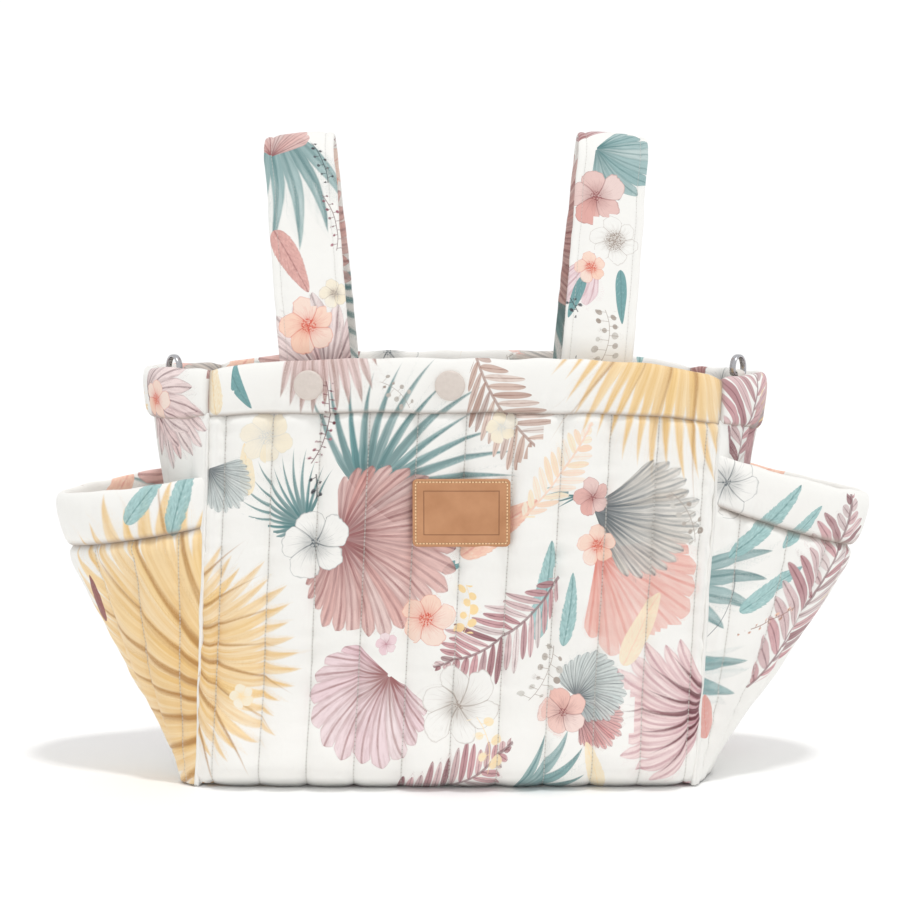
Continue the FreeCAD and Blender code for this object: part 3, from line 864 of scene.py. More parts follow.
def pocket_wall(side, material, seed):
    """A pocket's quilted outer wall, from the ground up into its hem."""
    def height(s, v):
        top = mouth_height(side, s) - lerp(HEM[::-1], abs(s)) + 2.0
        return 1.5 + (top - 1.5) * v, top

    def nearest(s, length):
        gap = min(abs(s - line) for line in POCKET_LINES + [-1.0, 1.0])
        return gap * length, min(range(10), key=lambda k: abs(s - (POCKET_LINES + [-1.0, 1.0])[k]))

    def place(s, v):
        z, top = height(s, v)
        length = pocket_point(side, s, z)[1]
        away, line = nearest(s, length)
        ease = smooth(z, 0, 30) * smooth(z, top, top - 14)
        out = -1.2 + 4.6 * (1 - math.exp(-away / 5.5)) * (0.3 + 0.7 * ease)
        out += ripple(line * 5.1, z, seed, size=6.0) * math.exp(-away / 7) * 1.5
        out += (ripple(s * length, z / 1.3, seed, size=16.0) * 1.2
                + ripple(s * length, z, seed, size=48.0) * 2.4 * ease)
        out += (ripple(s * length, seed, 4.0, size=6.5) * 2.2 + 1.0) * smooth(z, top - 26, top - 6)
        out -= 3.5 * smooth(z, top - 7, top - 1)
        out *= smooth((1 - abs(s)) * length, -4.0, 9.0)
        return pocket_point(side, s, z, out)[0]

    def cloth(s, v):
        z = height(s, v)[0]
        return s * pocket_point(side, s, z)[1], z

    def seam(s, v):
        z = height(s, v)[0]
        # The third value is painted shade in the fold just under the hem.
        return nearest(s, pocket_point(side, s, z)[1])[0], z, smooth(v, 0.965, 0.99)

    shares = (0.0, 0.05, 0.12, 0.22, 0.36, 0.5, 0.64, 0.78, 0.88, 0.95)
    edges = [-1.0] + POCKET_LINES + [1.0]
    columns = [a + (b - a) * share for a, b in zip(edges, edges[1:]) for share in shares] + [1.0]
    return slab(side + "_pouch", columns, steps(0.0, 0.9, 56) + steps(0.9, 1.0, 8)[1:], place, material, 4.0,
                cloth=cloth, seam=seam)


def pocket_hem(side, material, seed):
    """The padded hem round a pocket's mouth, gathered a little by its elastic."""
    section = roll_section(30, 0.62)
    rings, flats, seams = [], [], []
    for s in steps(-1.0, 1.0, 130):
        top = mouth_height(side, s)
        bottom = top - lerp(HEM[::-1], abs(s))
        length = pocket_point(side, s, bottom)[1]
        u = s * length
        pinch = 0.30 + 0.70 * smooth((1 - abs(s)) * length, -2.0, 16.0)
        ring, flat, line = [], [], []
        for across, up in section:
            share = (up + 1) / 2
            z = bottom + (top - bottom) * share
            # The third value is painted shade along the hem's lower seam.
            line.append((NO_STITCH, u, 1 - smooth(share, 0.0, 0.10)))
            gather = ripple(u, seed, share * 0.6, size=10.0) * 1.3
            tuck = ripple(u, seed, 2.0, size=6.0) * 2.4 * (1 - smooth(share, 0.05, 0.6))
            out = -1.8 + 5.6 * pinch * across + (gather + tuck) * pinch * max(across, -0.2)
            point = pocket_point(side, s, z, out)[0]
            lift = ripple(u, seed, 6.0, size=17.0) * 1.2 * smooth(share, 0.5, 1.0)
            ring.append(point + Vector((0, 0, lift * pinch)))
            flat.append((u, z if across >= 0 else 2 * top - z))
        rings.append(ring)
        flats.append(flat)
        seams.append(line)
    return tube(side + "_hem", rings, flats, material, seams)


# --- Handles and the parts that hold them ---

STRAP_HALF = 23.0
STRAP_STITCH = 17.5              # from the strap's middle to its edge stitching
HINGE_Z = HEIGHT
UNDERSIDE = 300.0                # how far along the flat cloth the strap's inner side is printed from
STRAP_RUN = 380.0                # longer than the strap
CREST = 187.0                    # just past the top of the loop, along the strap from its front foot
ANCHOR_DEPTH = (49.6, 66.2)      # from the bag's middle to the near and far side of a tab


def handle_route():
    """The strap's middle line from the side, as evenly spaced (y, z) from its front foot to its back one."""
    leg_depth, foot, foot_top, bend, crest, tilt = 56.0, 256.0, 284.0, 30.0, 26.0, math.radians(15)
    sine, cosine = math.sin(tilt), math.cos(tilt)
    leg = (leg_depth - bend + (bend - crest) * cosine) / sine
    crest_z = foot_top + (bend - crest) * sine + leg * cosine
    half = [(-leg_depth, foot)]
    half += [(bend - leg_depth - bend * math.cos(turn), foot_top + bend * math.sin(turn))
             for turn in steps(0.0, tilt, 5)]
    half += [(-crest * math.cos(turn), crest_z + crest * math.sin(turn))
             for turn in steps(tilt, math.pi / 2, 14)]
    points = np.array(half + [(-y, z) for y, z in half[-2::-1]])
    run = np.concatenate(([0.0], np.cumsum(np.linalg.norm(np.diff(points, axis=0), axis=1))))
    places = np.linspace(0, run[-1], 150)
    route = np.stack([np.interp(places, run, points[:, k]) for k in (0, 1)], axis=1)
    for _ in range(3):
        route[1:-1] = (route[:-2] + 2 * route[1:-1] + route[2:]) / 4
    return route, places


def strap_section():
    """Points round the strap, as (across, share of the half thickness)."""
    count = 44
    section = []
    for index in range(count):
        angle = 2 * math.pi * index / count
        across, out = math.cos(angle), math.sin(angle)
        section.append((signed_power(across, 0.42), signed_power(out, 0.55)))
    return section


def handle(side, sign, material, seed):
    """A padded strap with a line of stitching near each edge, from the front foot over to the back."""
    route, places = handle_route()
    along = np.gradient(route, axis=0)
    along /= np.linalg.norm(along, axis=1, keepdims=True)
    flare = math.radians(5.1)
    rings, flats, seams = [], [], []
    for (y, z), (dy, dz), v in zip(route, along, places):
        ring, flat, line = [], [], []
        for across, out in strap_section():
            a = across * STRAP_HALF
            groove = math.exp(-((abs(a) - STRAP_STITCH) / 1.5) ** 2)
            puff = ripple(a, v, seed, size=22.0) * 0.5 + ripple(a * 0.5, v, seed, size=6.0) * 0.28
            crown = 1 - (a / STRAP_STITCH) ** 2 if abs(a) < STRAP_STITCH else 0.0
            half = 3.0 + 0.9 * crown - 0.9 * groove
            b = out * half + puff * (1 - groove)
            wave = (ripple(v, seed, 2.0, size=34.0)
                    + ripple(v, math.copysign(4.0, a), seed, size=8.0) * 0.35)
            side_x = a + wave * smooth(v, 20, 60) * smooth(places[-1] - v, 20, 60)
            up = z + dy * b - HINGE_Z
            x = side_x * math.cos(flare) + up * math.sin(flare)
            top = HINGE_Z + up * math.cos(flare) - side_x * math.sin(flare)
            ring.append(Vector((sign * (HANDLE_X + x), y - dz * b, top)))
            flat.append((sign * a if out >= 0 else sign * a + UNDERSIDE, v))
            line.append((abs(abs(a) - STRAP_STITCH), v, 0.0))
        rings.append(ring)
        flats.append(flat)
        seams.append(line)
    return tube(side + "_strap", rings, flats, material, seams, shape=Vector)


def pad(name, low, high, material, power):
    """A stuffed cloth block that fills a box, softly squared."""
    middle = [(a + b) / 2 for a, b in zip(low, high)]
    half = [(b - a) / 2 for a, b in zip(low, high)]
    rings, flats = [], []
    for tilt in steps(-math.pi / 2 + 0.02, math.pi / 2 - 0.02, 14):
        wide, up = abs(math.cos(tilt)) ** power, signed_power(math.sin(tilt), power)
        ring, flat = [], []
        for turn in steps(0.0, 2 * math.pi, 40)[:-1]:
            x = signed_power(math.cos(turn), power) * wide
            y = signed_power(math.sin(turn), power) * wide
            ring.append(Vector((middle[0] + x * half[0], middle[1] + y * half[1], middle[2] + up * half[2])))
            flat.append((ring[-1].x + ring[-1].y, ring[-1].z))
        rings.append(ring)
        flats.append(flat)
    return tube(name, rings, flats, material, shape=Vector)


def join(name, objects):
    """Merges objects into the first one."""
    bpy.ops.object.select_all(action="DESELECT")
    for obj in objects:
        obj.select_set(True)
    bpy.context.view_layer.objects.active = objects[0]
    bpy.ops.object.join()
    objects[0].name = name
    return objects[0]


def anchors(side, material):
    """The cloth tabs inside the front and back bands that hold a handle's feet."""
    low, high = span(side + "_handle_anchors", 0)
    bottom, top = span(side + "_handle_anchors", 2)
    pads = []
    for number, front in enumerate((-1, 1)):
        near, far = sorted(front * depth for depth in ANCHOR_DEPTH)
        corners = (low, near, bottom - 2), (high, far, top + 5)
        pads.append(pad(f"{side}_anchor_{number}", *corners, material, 0.3))
    return join(side + "_anchor_tabs", pads)


# --- Fittings ---

def lathe(name, profile, frames, material, count=40):
    """Turned pieces from one (radius, height) profile, one at each frame."""
    vertices, faces, uvs = [], [], []
    for matrix in frames:
        start = len(vertices)
        for radius, height in profile:
            for turn in steps(0.0, 2 * math.pi, count)[:-1]:
                vertices.append(matrix @ Vector((radius * math.cos(turn), radius * math.sin(turn), height)))
        for j in range(len(profile) - 1):
            for i in range(count):
                k = (i + 1) % count
                a, b = start + j * count, start + (j + 1) * count
                faces.append((a + i, a + k, b + k, b + i))
        faces.append(tuple(start + i for i in range(count))[::-1])
        faces.append(tuple(start + (len(profile) - 1) * count + i for i in range(count)))
    uvs = [(vertices[corner].x, vertices[corner].z) for face in faces for corner in face]
    return new_object(name, vertices, faces, uvs, material)


STUD_X = (-94.0, -4.0)
STUD_Z = 261.0


def stud_frames(front):
    """Frames on the outer face of the front band (-1) or the back one (1), with +Z out of the bag."""
    half_width, corner_depth, bulge, proud = 164.6, 63.5, 17.1, 3.4
    frames = []
    for x in STUD_X:
        slope = 2 * bulge * x / half_width ** 2
        y = -corner_depth - bulge * (1 - (x / half_width) ** 2) - proud
        out = Vector((slope, -1.0, 0.0)).normalized()
        right = Vector((0, 0, 1)).cross(out) * -1
        matrix = Matrix((right, Vector((0, 0, 1)), out)).transposed().to_4x4()
        matrix.translation = Vector((x, y, STUD_Z))
        frames.append(Matrix.Scale(-1, 4, (0, 1, 0)) @ matrix if front > 0 else matrix)
    return frames


LABEL_OUT = 5.4                  # from the wall's own line to the label's face
CAP_PROFILE = [(2.0, -3.0), (8.6, -1.0), (9.3, -0.2), (9.6, 0.5), (9.5, 1.1), (9.1, 1.6), (8.5, 1.95),
               (7.8, 2.1), (7.2, 2.08), (6.4, 2.15), (5.0, 2.35), (3.4, 2.5), (1.8, 2.58), (0.5, 2.6)]


def label_patch(material):
    """A leather patch that lies on the curve of the front, with rounded corners and edges."""
    low, high = span("label", 0), span("label", 2)
    half_x, half_z = (low[1] - low[0]) / 2, (high[1] - high[0]) / 2
    middle_x, middle_z = sum(low) / 2, sum(high) / 2
    corner = 3.2

    def rounded(u, v):
        over_x, over_z = abs(u) - (half_x - corner), abs(v) - (half_z - corner)
        if over_x > 0 and over_z > 0:
            shrink = max(over_x, over_z) / math.hypot(over_x, over_z)
            u = math.copysign(half_x - corner + over_x * shrink, u)
            v = math.copysign(half_z - corner + over_z * shrink, v)
        return u, v

    def place(u, v):
        x, z = rounded(u, v)
        edge = min(half_x - abs(u), half_z - abs(v))
        out = LABEL_OUT - 0.9 * math.exp(-edge / 0.45) - 0.35 * math.exp(-((edge - 2.1) / 0.6) ** 2)
        out += ripple(x, z, 3.0, size=30.0) * 0.3
        return wall_point("front", (middle_x + x) / FRONT_RUN, middle_z + z, out)[0]

    def seam(u, v):
        from_side, from_end = half_x - abs(u), half_z - abs(v)
        edge = min(from_side, from_end)
        return abs(edge - 2.1), (v if from_side < from_end else u), 0.0

    def spaced(half):
        near = [0.0, 0.3, 0.7, 1.2, 1.7, 2.1, 2.5, 3.1, 4.0, 5.5]
        inner = steps(-half + 7.0, half - 7.0, 24)
        return [-half + a for a in near] + inner + [half - a for a in near[::-1]]

    return slab("leather_patch", spaced(half_x), spaced(half_z), place, material, 1.7,
                cloth=lambda u, v: (u, v), seam=seam, shape=Vector)


def ring_frame(sign):
    """Frame of a D-ring: +X along its bar, +Y into the bag, +Z up."""
    along = Vector((0.5476, 0.8367, 0.0))
    inward = Vector((-0.8367, 0.5476, 0.0))
    matrix = Matrix((along, inward, Vector((0, 0, 1)))).transposed().to_4x4()
    matrix.translation = Vector((185.68, -27.70, 266.0))
    return Matrix.Scale(-1, 4, (1, 0, 0)) @ matrix if sign < 0 else matrix


def swept(name, route, section, frame_matrix, material, closed):
    """A section swept along a flat route of (across, up) points; the section is (sideways, deep)."""
    rings, flats = [], []
    route = np.array(route)
    ahead = np.roll(route, -1, axis=0) - np.roll(route, 1, axis=0) if closed else np.gradient(route, axis=0)
    ahead /= np.linalg.norm(ahead, axis=1, keepdims=True)
    for (x, z), (dx, dz) in zip(route, ahead):
        ring = [frame_matrix @ Vector((x - dz * side, deep, z + dx * side)) for side, deep in section]
        rings.append(ring)
        flats.append([(deep + side, x + z) for side, deep in section])
    if closed:
        rings.append(rings[0])
        flats.append(flats[0])
    return tube(name, rings, flats, material, shape=Vector, caps=not closed)


def dee_route():
    """The middle line of a D-ring, with its bar at the bottom."""
    reach, leg, corner = 8.0, 4.0, 1.6
    arc = [(reach * math.cos(turn), leg + reach * math.sin(turn)) for turn in steps(0.0, math.pi, 26)]
    left = [(-reach + corner - corner * math.cos(turn), corner - corner * math.sin(turn))
            for turn in steps(0.0, math.pi / 2, 5)]
    bar = [(x, 0.0) for x in steps(-reach + corner, reach - corner, 10)[1:-1]]
    return arc + left + bar + [(-x, z) for x, z in left[::-1]]


def ring_section(half_side, half_deep, power=0.7, count=16):
    section = []
    for turn in steps(0.0, 2 * math.pi, count)[:-1]:
        section.append((signed_power(math.cos(turn), power) * half_side,
                        signed_power(math.sin(turn), power) * half_deep))
    return section


def dee_ring(side, sign, material):
    return swept(side + "_dee", dee_route(), ring_section(1.0, 2.1), ring_frame(sign), material, True)


def ring_loop(side, sign, material):
    """The cloth tab that runs up the band, over the ring's bar and back down."""
    matrix = ring_frame(sign) @ Matrix(((0, 1, 0, 0), (1, 0, 0, 0), (0, 0, 1, 0), (0, 0, 0, 1)))
    over_bar = [(-2.3 * math.cos(turn), 2.3 * math.sin(turn)) for turn in steps(0.0, math.radians(215), 12)]
    route = [(-3.4, -24.0), (-3.4, -16.0), (-3.3, -9.0), (-2.9, -4.0)] + over_bar
    route += [(-0.6, -4.6), (-1.9, -8.0), (-2.1, -14.0)]
    return swept(side + "_ring_loop", route, ring_section(0.6, 5.0, 0.5, 20), matrix, material, False)


# --- More materials ---

def plain_cotton():
    material, shader = new_material("lining_cotton")
    uv = add_node("ShaderNodeUVMap", uv_map="cloth").outputs[0]
    shade = cloud(uv, 30.0, 3.0)
    colour = blend_colours(shade, srgb(242, 238, 232), srgb(228, 222, 214))
    finish_cloth(shader, colour, cloth_relief(uv, 0.00012))
    return material


def leather():
    material, shader = new_material("leather_label")
    uv = add_node("ShaderNodeUVMap", uv_map="cloth").outputs[0]
    u, v, _ = parts(uv)
    x, z = u * 1000, v * 1000
    grain = cloud(uv, 900.0, 3.0, 0.6)
    patina = cloud(uv, 55.0, 3.0)
    colour = blend_colours(patina * 1.5 - 0.25, srgb(206, 152, 112), srgb(178, 124, 84))
    border = ramp(abs(highest(abs(x) - 24.0, abs(z) - 14.0)), 0.42, 0.18)
    thread, hole, _ = stitching(attribute("seam"), 2.1, 0.46)
    colour = blend_colours(border * 0.55, colour, srgb(104, 58, 32))
    # Painted shade: the stitch holes are darkened.
    colour = blend_colours(hole * 0.8, colour, srgb(120, 74, 44))
    colour = blend_colours(thread, colour, srgb(248, 214, 168))
    height = grain * 0.00012 + patina * 0.0003 - border * 0.00035 + thread * 0.0003 - hole * 0.0004
    finish_cloth(shader, colour, height, 0.52, 0.0)
    shader.inputs["Specular IOR Level"].default_value = 0.4
    return material


def resin():
    material, shader = new_material("press_stud")
    place = add_node("ShaderNodeTexCoord").outputs["Object"]
    mottle = cloud(place, 400.0, 2.0)
    colour = blend_colours(mottle, srgb(224, 213, 205), srgb(208, 197, 188))
    finish_cloth(shader, colour, mottle * 0.00004, 0.38, 0.0)
    shader.inputs["Specular IOR Level"].default_value = 0.5
    return material


def nickel():
    material, shader = new_material("ring_metal")
    place = add_node("ShaderNodeTexCoord").outputs["Object"]
    scuff = cloud(place, 700.0, 4.0)
    plug(shader.inputs["Base Color"], blend_colours(scuff, srgb(205, 205, 208), srgb(170, 170, 174)))
    shader.inputs["Metallic"].default_value = 1.0
    plug(shader.inputs["Roughness"], scuff * 0.25 + 0.14)
    return material


def fibre_board():
    material, shader = new_material("board")
    place = add_node("ShaderNodeTexCoord").outputs["Object"]
    fleck = cloud(place, 300.0, 3.0)
    colour = blend_colours(fleck, srgb(206, 204, 200), srgb(186, 184, 180))
    finish_cloth(shader, colour, fleck * 0.0001, 0.7, 0.0)
    return material


# --- The print on each piece ---

# Where the motifs lie that the front view shows, in mm on each flat piece.
FRONT_PRINT = [
    motif("fan_back", (-62, 186), 106, 44, (1.42, 17, 0.44), SEA, DEEP_TEAL),
    motif("fan_mid", (-98, 170), 54, -48, (1.25, 15, 0.40), SEA, DEEP_TEAL),
    motif("fan_mid", (78, 190), 30, -28, (1.70, 17, 0.40), SEA, DEEP_TEAL),
    motif("fan_back", (152, 340), 150, -162, (0.95, 25, 0.74), YELLOW, OCHRE),
    motif("fan_mid", (152, 340), 166, -162, (0.80, 7, 0.18), OCHRE, BRONZE),
    motif("fan_back", (-196, 84), 106, 92, (1.30, 23, 0.76), YELLOW, OCHRE),
    motif("fan_mid", (-196, 84), 110, 94, (1.30, 9, 0.20), OCHRE, BRONZE),
    motif("fan_mid", (90, 154), 80, 132, (0.95, 9, 0.95), SALMON, CORAL),
    motif("fan_back", (178, 46), 80, -88, (0.98, 11, 0.86), BLUSH, MAUVE),
    motif("fan_mid", (178, 46), 70, -84, (0.92, 7, 0.26), WINE, MAROON),
    motif("fan_mid", (40, -8), 64, 58, (0.50, 4, 0.55), SEA, DEEP_TEAL),
    motif("fan_back", (84, 50), 32, 114, (1.10, 15, 0.94), ROSE, MAROON),
    motif("fan_mid", (-118, 340), 108, 146, (0.50, 12, 0.85), BLUSH, UMBER),
    motif("plume", (58, 128), 32, 6, (0.36, 0.5, 0.05), TEAL, DEEP_TEAL),
    motif("plume", (74, 116), 24, 4, (0.30, 0.5, 0.05), TEAL, DEEP_TEAL),
    motif("plume", (-146, 262), 19, 152, (0.30, 0.1, 0.1), SEA, DEEP_TEAL),
    motif("plume", (-162, 260), 19, -8, (0.42, 0.3, 0.0), CREAM, OCHRE),
    motif("frond", (34, 240), 54, 140, (0.50, 17, 0.2), BEIGE, UMBER),
    motif("frond", (30, 104), 52, -126, (0.50, 17, -0.25), MAUVE_PALE, MAROON),
    motif("frond", (-2, 4), 56, 62, (0.42, 17, 0.2), MAUVE_PALE, MAROON),
    motif("fan_front", (-76, 162), 80, 106, (1.95, 23, 0.92), PINK, WINE),
    motif("fan_front", (-40, 74), 62, -140, (1.60, 13, 0.93), LILAC, WINE),
    motif("fan_front", (86, 180), 72, 102, (0.95, 15, 0.93), GREIGE, SLATE),
    motif("fan_front", (82, 60), 34, 54, (1.90, 21, 0.95), MIST, SLATE),
    motif("fan_front", (-164, 206), 34, 128, (1.00, 13, 0.94), MIST, SLATE),
    motif("flower", (-92, 158), 26, 0, (5, 0.25, 0.16), WHITE, SLATE),
    motif("flower", (85, 188), 14, 0, (5, 0.30, 0.22), PINK, WINE),
    motif("flower", (90, 157), 15, 10, (5, 0.35, 0.35), PEACH, RED),
    motif("flower", (-18, 110), 20, 26, (5, 0.30, 0.30), PEACH, RED),
    motif("flower", (6, 54), 30, 0, (6, 0.30, 0.12), WHITE, TAUPE),
    motif("flower", (74, 50), 18, 0, (5, 0.30, 0.20), SALMON, WINE),
    motif("flower", (-43, 94), 8, 0, (5, 0.30, 0.15), LILAC, MAUVE),
    motif("sprig", (-102, 218), 36, -22, (0.10, 9, 0.055), SLATE, INK),
    motif("sprig", (146, 178), 20, -30, (0.25, 6, 0.11), GREY, TAUPE),
    motif("sprig", (60, 74), 20, 24, (0.30, 6, 0.12), GREY, TAUPE),
    motif("sprig", (8, 116), 17, 0, (0.20, 4, 0.20), YELLOW, YELLOW),
    motif("sprig", (24, 30), 20, -14, (0.25, 3, 0.20), CREAM, YELLOW),
    motif("flower", (-126, 226), 20, 0, (6, 0.25, 0.30), CREAM, GREY),
    motif("plume", (-138, 206), 17, -6, (0.36, 0.1, 0.0), CREAM, YELLOW),
    motif("plume", (10, 150), 22, 62, (0.22, 0.2, 0.0), SEA, DEEP_TEAL),
    motif("frond", (62, 204), 40, 34, (0.40, 13, 0.1), CREAM, PEACH),
    motif("plume", (26, 168), 30, 52, (0.40, 0.3, 0.0), PEACH, CORAL),
    motif("sprig", (-90, 236), 30, 8, (0.12, 11, 0.05), MAUVE, MAROON),
    motif("plume", (122, 104), 26, 24, (0.36, 0.1, 0.0), CREAM, PEACH),
    motif("flower", (-136, 60), 9, 0, (5, 0.30, 0.30), CREAM, YELLOW),
    motif("plume", (96, 14), 18, -20, (0.40, 0.3, 0.0), CREAM, YELLOW),
    motif("flower", (24, 232), 12, 0, (5, 0.30, 0.30), CREAM, GREY),
    motif("sprig", (-44, 256), 14, -50, (0.30, 5, 0.12), GREY, TAUPE),
]
LEFT_END_PRINT = [
    motif("fan_back", (38, 262), 60, 165, (0.90, 9, 0.85), BLUSH, MAROON),
    motif("fan_front", (24, 250), 52, 86, (1.40, 9, 0.80), BLUSH, MAROON),
    motif("flower", (38, 250), 16, 34, (5, 0.30, 0.30), PEACH, RED),
]
RIGHT_END_PRINT = [
    motif("frond", (-44, 262), 62, 14, (0.95, 13, 0.0), MAUVE_PALE, MAROON),
    motif("plume", (-34, 222), 30, -8, (0.50, 0.2, 0.0), MAUVE_PALE, MAROON),
]
LEFT_POCKET_PRINT = [
    motif("fan_back", (132, 48), 162, -38, (1.70, 33, 0.80), YELLOW, OCHRE),
    motif("fan_mid", (132, 48), 172, -38, (1.70, 12, 0.20), OCHRE, BRONZE),
    motif("fan_front", (-32, 92), 98, 8, (0.14, 5, 0.90), MAUVE_PALE, WINE),
    motif("plume", (92, 188), 22, 36, (0.45, 0.5, 0.0), TEAL, DEEP_TEAL),
    motif("plume", (116, 190), 28, 14, (0.36, 0.5, 0.0), TEAL, DEEP_TEAL),
    motif("plume", (34, 118), 16, 10, (0.30, 0.1, 0.0), WINE, MAROON),
]
RIGHT_POCKET_PRINT = [
    motif("fan_back", (-166, 126), 84, 80, (0.50, 4, 0.62), SEA, DEEP_TEAL),
    motif("fan_mid", (-156, 76), 96, 106, (0.50, 4, 0.62), SEA, DEEP_TEAL),
    motif("plume", (-102, 172), 30, 40, (0.35, 0.5, 0.0), TEAL, DEEP_TEAL),
    motif("plume", (-77, 168), 17, 38, (0.42, 0.5, 0.0), TEAL, DEEP_TEAL),
    motif("plume", (-84, 128), 20, 45, (0.55, 0.5, 0.0), TEAL, DEEP_TEAL),
    motif("plume", (-82, 46), 16, -28, (0.38, 0.1, 0.0), PINK, CORAL),
    motif("plume", (-24, 124), 16, 30, (0.35, 0.3, 0.0), CREAM, OCHRE),
    motif("frond", (-46, 124), 68, 8, (0.60, 15, 0.1), MAUVE_PALE, MAROON),
    motif("flower", (-134, 198), 26, 0, (6, 0.25, 0.13), WHITE, SLATE),
    motif("sprig", (-86, 106), 30, 76, (0.07, 9, 0.05), PEACH, UMBER),
    motif("sprig", (-110, 120), 24, -6, (0.02, 2, 0.01), TAUPE, SLATE),
]
LEFT_STRAP_PRINT = [
    motif("fan_back", (-20, 190), 108, 166, (0.62, 6, 0.55), SEA, DEEP_TEAL),
    motif("plume", (-10, 86), 24, 156, (0.42, 0.3, 0.0), PINK, WINE),
    motif("fan_front", (-18, 158), 38, 18, (1.10, 7, 0.95), PINK, WINE),
    motif("fan_front", (6, 4), 62, -14, (1.20, 9, 0.80), BLUSH, MAROON),
    motif("flower", (-2, 42), 21, 4, (5, 0.30, 0.30), PEACH, RED),
    motif("flower", (16, 62), 11, 4, (5, 0.30, 0.30), CREAM, TAUPE),
    motif("sprig", (14, 146), 21, -10, (0.14, 7, 0.06), SLATE, INK),
    motif("sprig", (18, 110), 21, -10, (0.14, 7, 0.06), MAUVE, MAROON),
]
RIGHT_STRAP_PRINT = [
    motif("fan_back", (-34, 160), 70, 44, (0.25, 3, 0.90), MAUVE_PALE, WINE),
    motif("fan_front", (-12, 160), 46, 112, (1.25, 9, 0.86), SEA, DEEP_TEAL),
    motif("flower", (-9, 128), 22, 0, (5, 0.30, 0.22), PINK, WINE),
    motif("flower", (5, 99), 18, 0, (6, 0.25, 0.50), WHITE, TAUPE),
    motif("flower", (-9, 80), 12, 0, (5, 0.35, 0.40), PEACH, RED),
    motif("fan_mid", (-8, 92), 42, 196, (0.55, 4, 0.90), LILAC, MAUVE),
    motif("plume", (12, 62), 18, 174, (0.24, 0.0, 0.0), SEA, DEEP_TEAL),
    motif("plume", (-17, 60), 15, 196, (0.28, 0.0, 0.0), SEA, DEEP_TEAL),
    motif("sprig", (-13, 34), 28, -12, (0.13, 11, 0.06), SLATE, INK),
    motif("sprig", (4, 36), 18, 0, (0.34, 6, 0.13), GREY, TAUPE),
]
END_PRINTS = {"left": LEFT_END_PRINT, "right": RIGHT_END_PRINT}
POCKET_PRINTS = {"left": LEFT_POCKET_PRINT, "right": RIGHT_POCKET_PRINT}
STRAP_PRINTS = {"left": LEFT_STRAP_PRINT, "right": RIGHT_STRAP_PRINT}
BAND_PRINTS = dict(END_PRINTS, front=FRONT_PRINT)
BAND_REST = {"right": (-10, 80), "back": (-165, 165), "left": (-80, 10)}     # with the repeated print
REPEAT = (330, 300)              # the print comes round again after this much cloth


def repeated(low, high, shift):
    """The front's print, moved along by shift and repeated over cloth that spans low to high."""
    placed = []
    for item in FRONT_PRINT:
        start = [item["centre"][k] + shift[k] for k in (0, 1)]
        turns = [range(math.floor((low[k] - item["radius"] - start[k]) / REPEAT[k]) + 1,
                       math.ceil((high[k] + item["radius"] - start[k]) / REPEAT[k])) for k in (0, 1)]
        for column in turns[0]:
            for row in turns[1]:
                centre = (start[0] + column * REPEAT[0], start[1] + row * REPEAT[1])
                placed.append(dict(item, centre=centre))
    return placed


def back_half(sign, far, low, high):
    """The print for the back half of a side piece, from its middle to `far`."""
    placed = repeated((min(0, sign * far), low), (max(0, sign * far), high), (sign * 70, 40))
    return [item for item in placed if sign * item["centre"][0] > item["radius"] - 15]


# --- Pieces ---

cotton, lining_cloth, hide, stud, metal, board = (
    printed_cotton(), plain_cotton(), leather(), resin(), nickel(), fibre_board())


def settle(obj, body, slot, *nodes, fill=None):
    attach(obj, body)
    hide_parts(*nodes)


front = quilted_wall("front", cotton, 1.0)
print_on(front, FRONT_PRINT)
settle(front, "bag", "printed_cotton", "front_panel", "front_wadding", fill=0.5)
back = quilted_wall("back", cotton, 2.0)
print_on(back, repeated((-165, 0), (165, SEAM), (140, 120)))
settle(back, "bag", "printed_cotton", "back_panel", "back_wadding", fill=0.5)
base = quilted_base(cotton)
print_on(base, repeated((-165, -75), (165, 75), (0, 0)))
settle(base, "bag", "printed_cotton", "base_panel", fill=0.3)

for number, wall in enumerate(WALLS):
    band = mouth_band(wall, cotton, 3.0 + number)
    length = half_length(wall)
    rest = BAND_REST.get(wall)
    print_on(band, (repeated((rest[0], SEAM - 10), (rest[1], 320), (140, 120)) if rest else [])
             + BAND_PRINTS.get(wall, []))
    settle(band, "bag", "printed_cotton", wall + "_band", wall + "_band_wadding", fill=0.7)
    inside = lining(wall, lining_cloth, 20.0 + number)
    print_on(inside, [])
    settle(inside, "bag", "lining_cotton", wall + "_lining")
    2 * length * MM - 0.006

bottom = lining_floor(lining_cloth)
settle(bottom, "bag", "lining_cotton", "base_lining")
pouch = slip_pouch(lining_cloth)
settle(pouch, "bag", "lining_cotton", "slip_pocket")

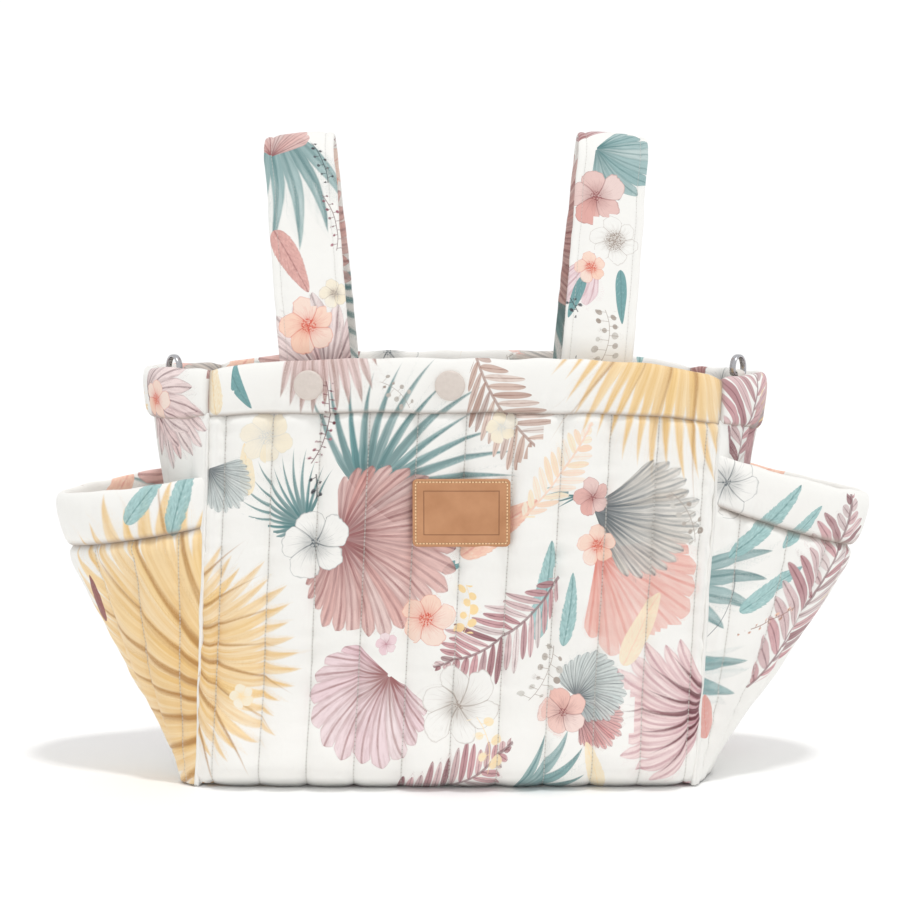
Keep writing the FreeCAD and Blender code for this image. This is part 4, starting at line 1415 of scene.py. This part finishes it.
for side, sign in SIDES:
    wall = gusset(side, cotton, 30.0 + sign)
    print_on(wall, back_half(sign, 80, 0, SEAM) + END_PRINTS[side])
    settle(wall, "bag", "printed_cotton", side + "_gusset", side + "_wadding", fill=0.4)
    outer = pocket_wall(side, cotton, 50.0 + sign)
    print_on(outer, back_half(sign, 125, 0, 190) + POCKET_PRINTS[side])
    layers = (side + "_pocket", side + "_pocket_wadding", side + "_pocket_lining")
    settle(outer, "bag", "printed_cotton", *layers, fill=0.4)
    hem = pocket_hem(side, cotton, 70.0 + sign)
    print_on(hem, back_half(sign, 135, 140, 260) + POCKET_PRINTS[side])
    settle(hem, "bag", "printed_cotton", side + "_pocket_hem", side + "_pocket_elastic", fill=0.6)
    strap = handle(side, sign, cotton, 90.0 + sign)
    behind = [item for item in repeated((-STRAP_HALF, CREST), (STRAP_HALF, STRAP_RUN), (sign * 40, 60))
              if item["centre"][1] > CREST + item["radius"]]
    under = repeated((UNDERSIDE - STRAP_HALF, 0), (UNDERSIDE + STRAP_HALF, STRAP_RUN), (0, 110))
    print_on(strap, behind + STRAP_PRINTS[side] + under)
    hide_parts(side + "_handle_outer", side + "_handle_padding", side + "_handle_inner")
    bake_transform(strap)
    tabs = anchors(side, lining_cloth)
    settle(tabs, "bag", "lining_cotton", side + "_handle_anchors", fill=0.5)
    ring = dee_ring(side, sign, metal)
    settle(ring, side + "_ring", "ring_metal", side + "_ring")
    tab = ring_loop(side, sign, lining_cloth)
    settle(tab, "bag", "lining_cotton", side + "_ring_tab")

for front_side, name in ((-1, "front"), (1, "back")):
    caps = lathe(name + "_caps", CAP_PROFILE, stud_frames(front_side), stud)
    settle(caps, "bag", "press_stud", name + "_stud_caps")
patch = label_patch(hide)
settle(patch, "bag", "leather_label", "label")

for node, material in (("front_stud_sockets", stud), ("back_stud_nubs", stud), ("base_board", board)):
    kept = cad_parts[node]
    kept.data.materials.clear()
    kept.data.materials.append(material)


# --- Floor, light and camera ---

SKY = 0.85                       # brightness of the white surroundings


def studio():
    world = bpy.data.worlds.new("studio")
    world.use_nodes = True
    Field.tree = world.node_tree
    background = world.node_tree.nodes["Background"]
    background.inputs["Color"].default_value = (1.0, 1.0, 1.0, 1.0)
    seen = Field(add_node("ShaderNodeLightPath").outputs["Is Camera Ray"])
    plug(background.inputs["Strength"], seen * (1.05 - SKY) + SKY)
    bpy.context.scene.world = world
    bpy.context.scene.view_settings.view_transform = "Standard"

    material, shader = new_material("floor")
    shader.inputs["Base Color"].default_value = (0.97, 0.97, 0.965, 1.0)
    shader.inputs["Roughness"].default_value = 0.9
    half = 4.0
    mesh = bpy.data.meshes.new("floor")
    corners = [(-half, -half, 0), (half, -half, 0), (half, half, 0), (-half, half, 0)]
    mesh.from_pydata(corners, [], [(0, 1, 2, 3)])
    mesh.materials.append(material)
    floor = bpy.data.objects.new("floor", mesh)
    bpy.context.scene.collection.objects.link(floor)

    data = bpy.data.lights.new("key", "SUN")
    data.energy = 0.95
    data.angle = math.radians(6)
    sun = bpy.data.objects.new("key", data)
    sun.rotation_euler = Vector((28, -42, 182)).to_track_quat("Z", "Y").to_euler()
    bpy.context.scene.collection.objects.link(sun)

    camera = bpy.data.objects.new("camera", bpy.data.cameras.new("camera"))
    camera.data.lens = 88.2
    camera.data.sensor_width = 36
    camera.location = (-0.004, -1.480, 0.3275)
    camera.rotation_euler = (math.radians(85.6), 0, 0)
    bpy.context.scene.collection.objects.link(camera)
    bpy.context.scene.camera = camera


studio()
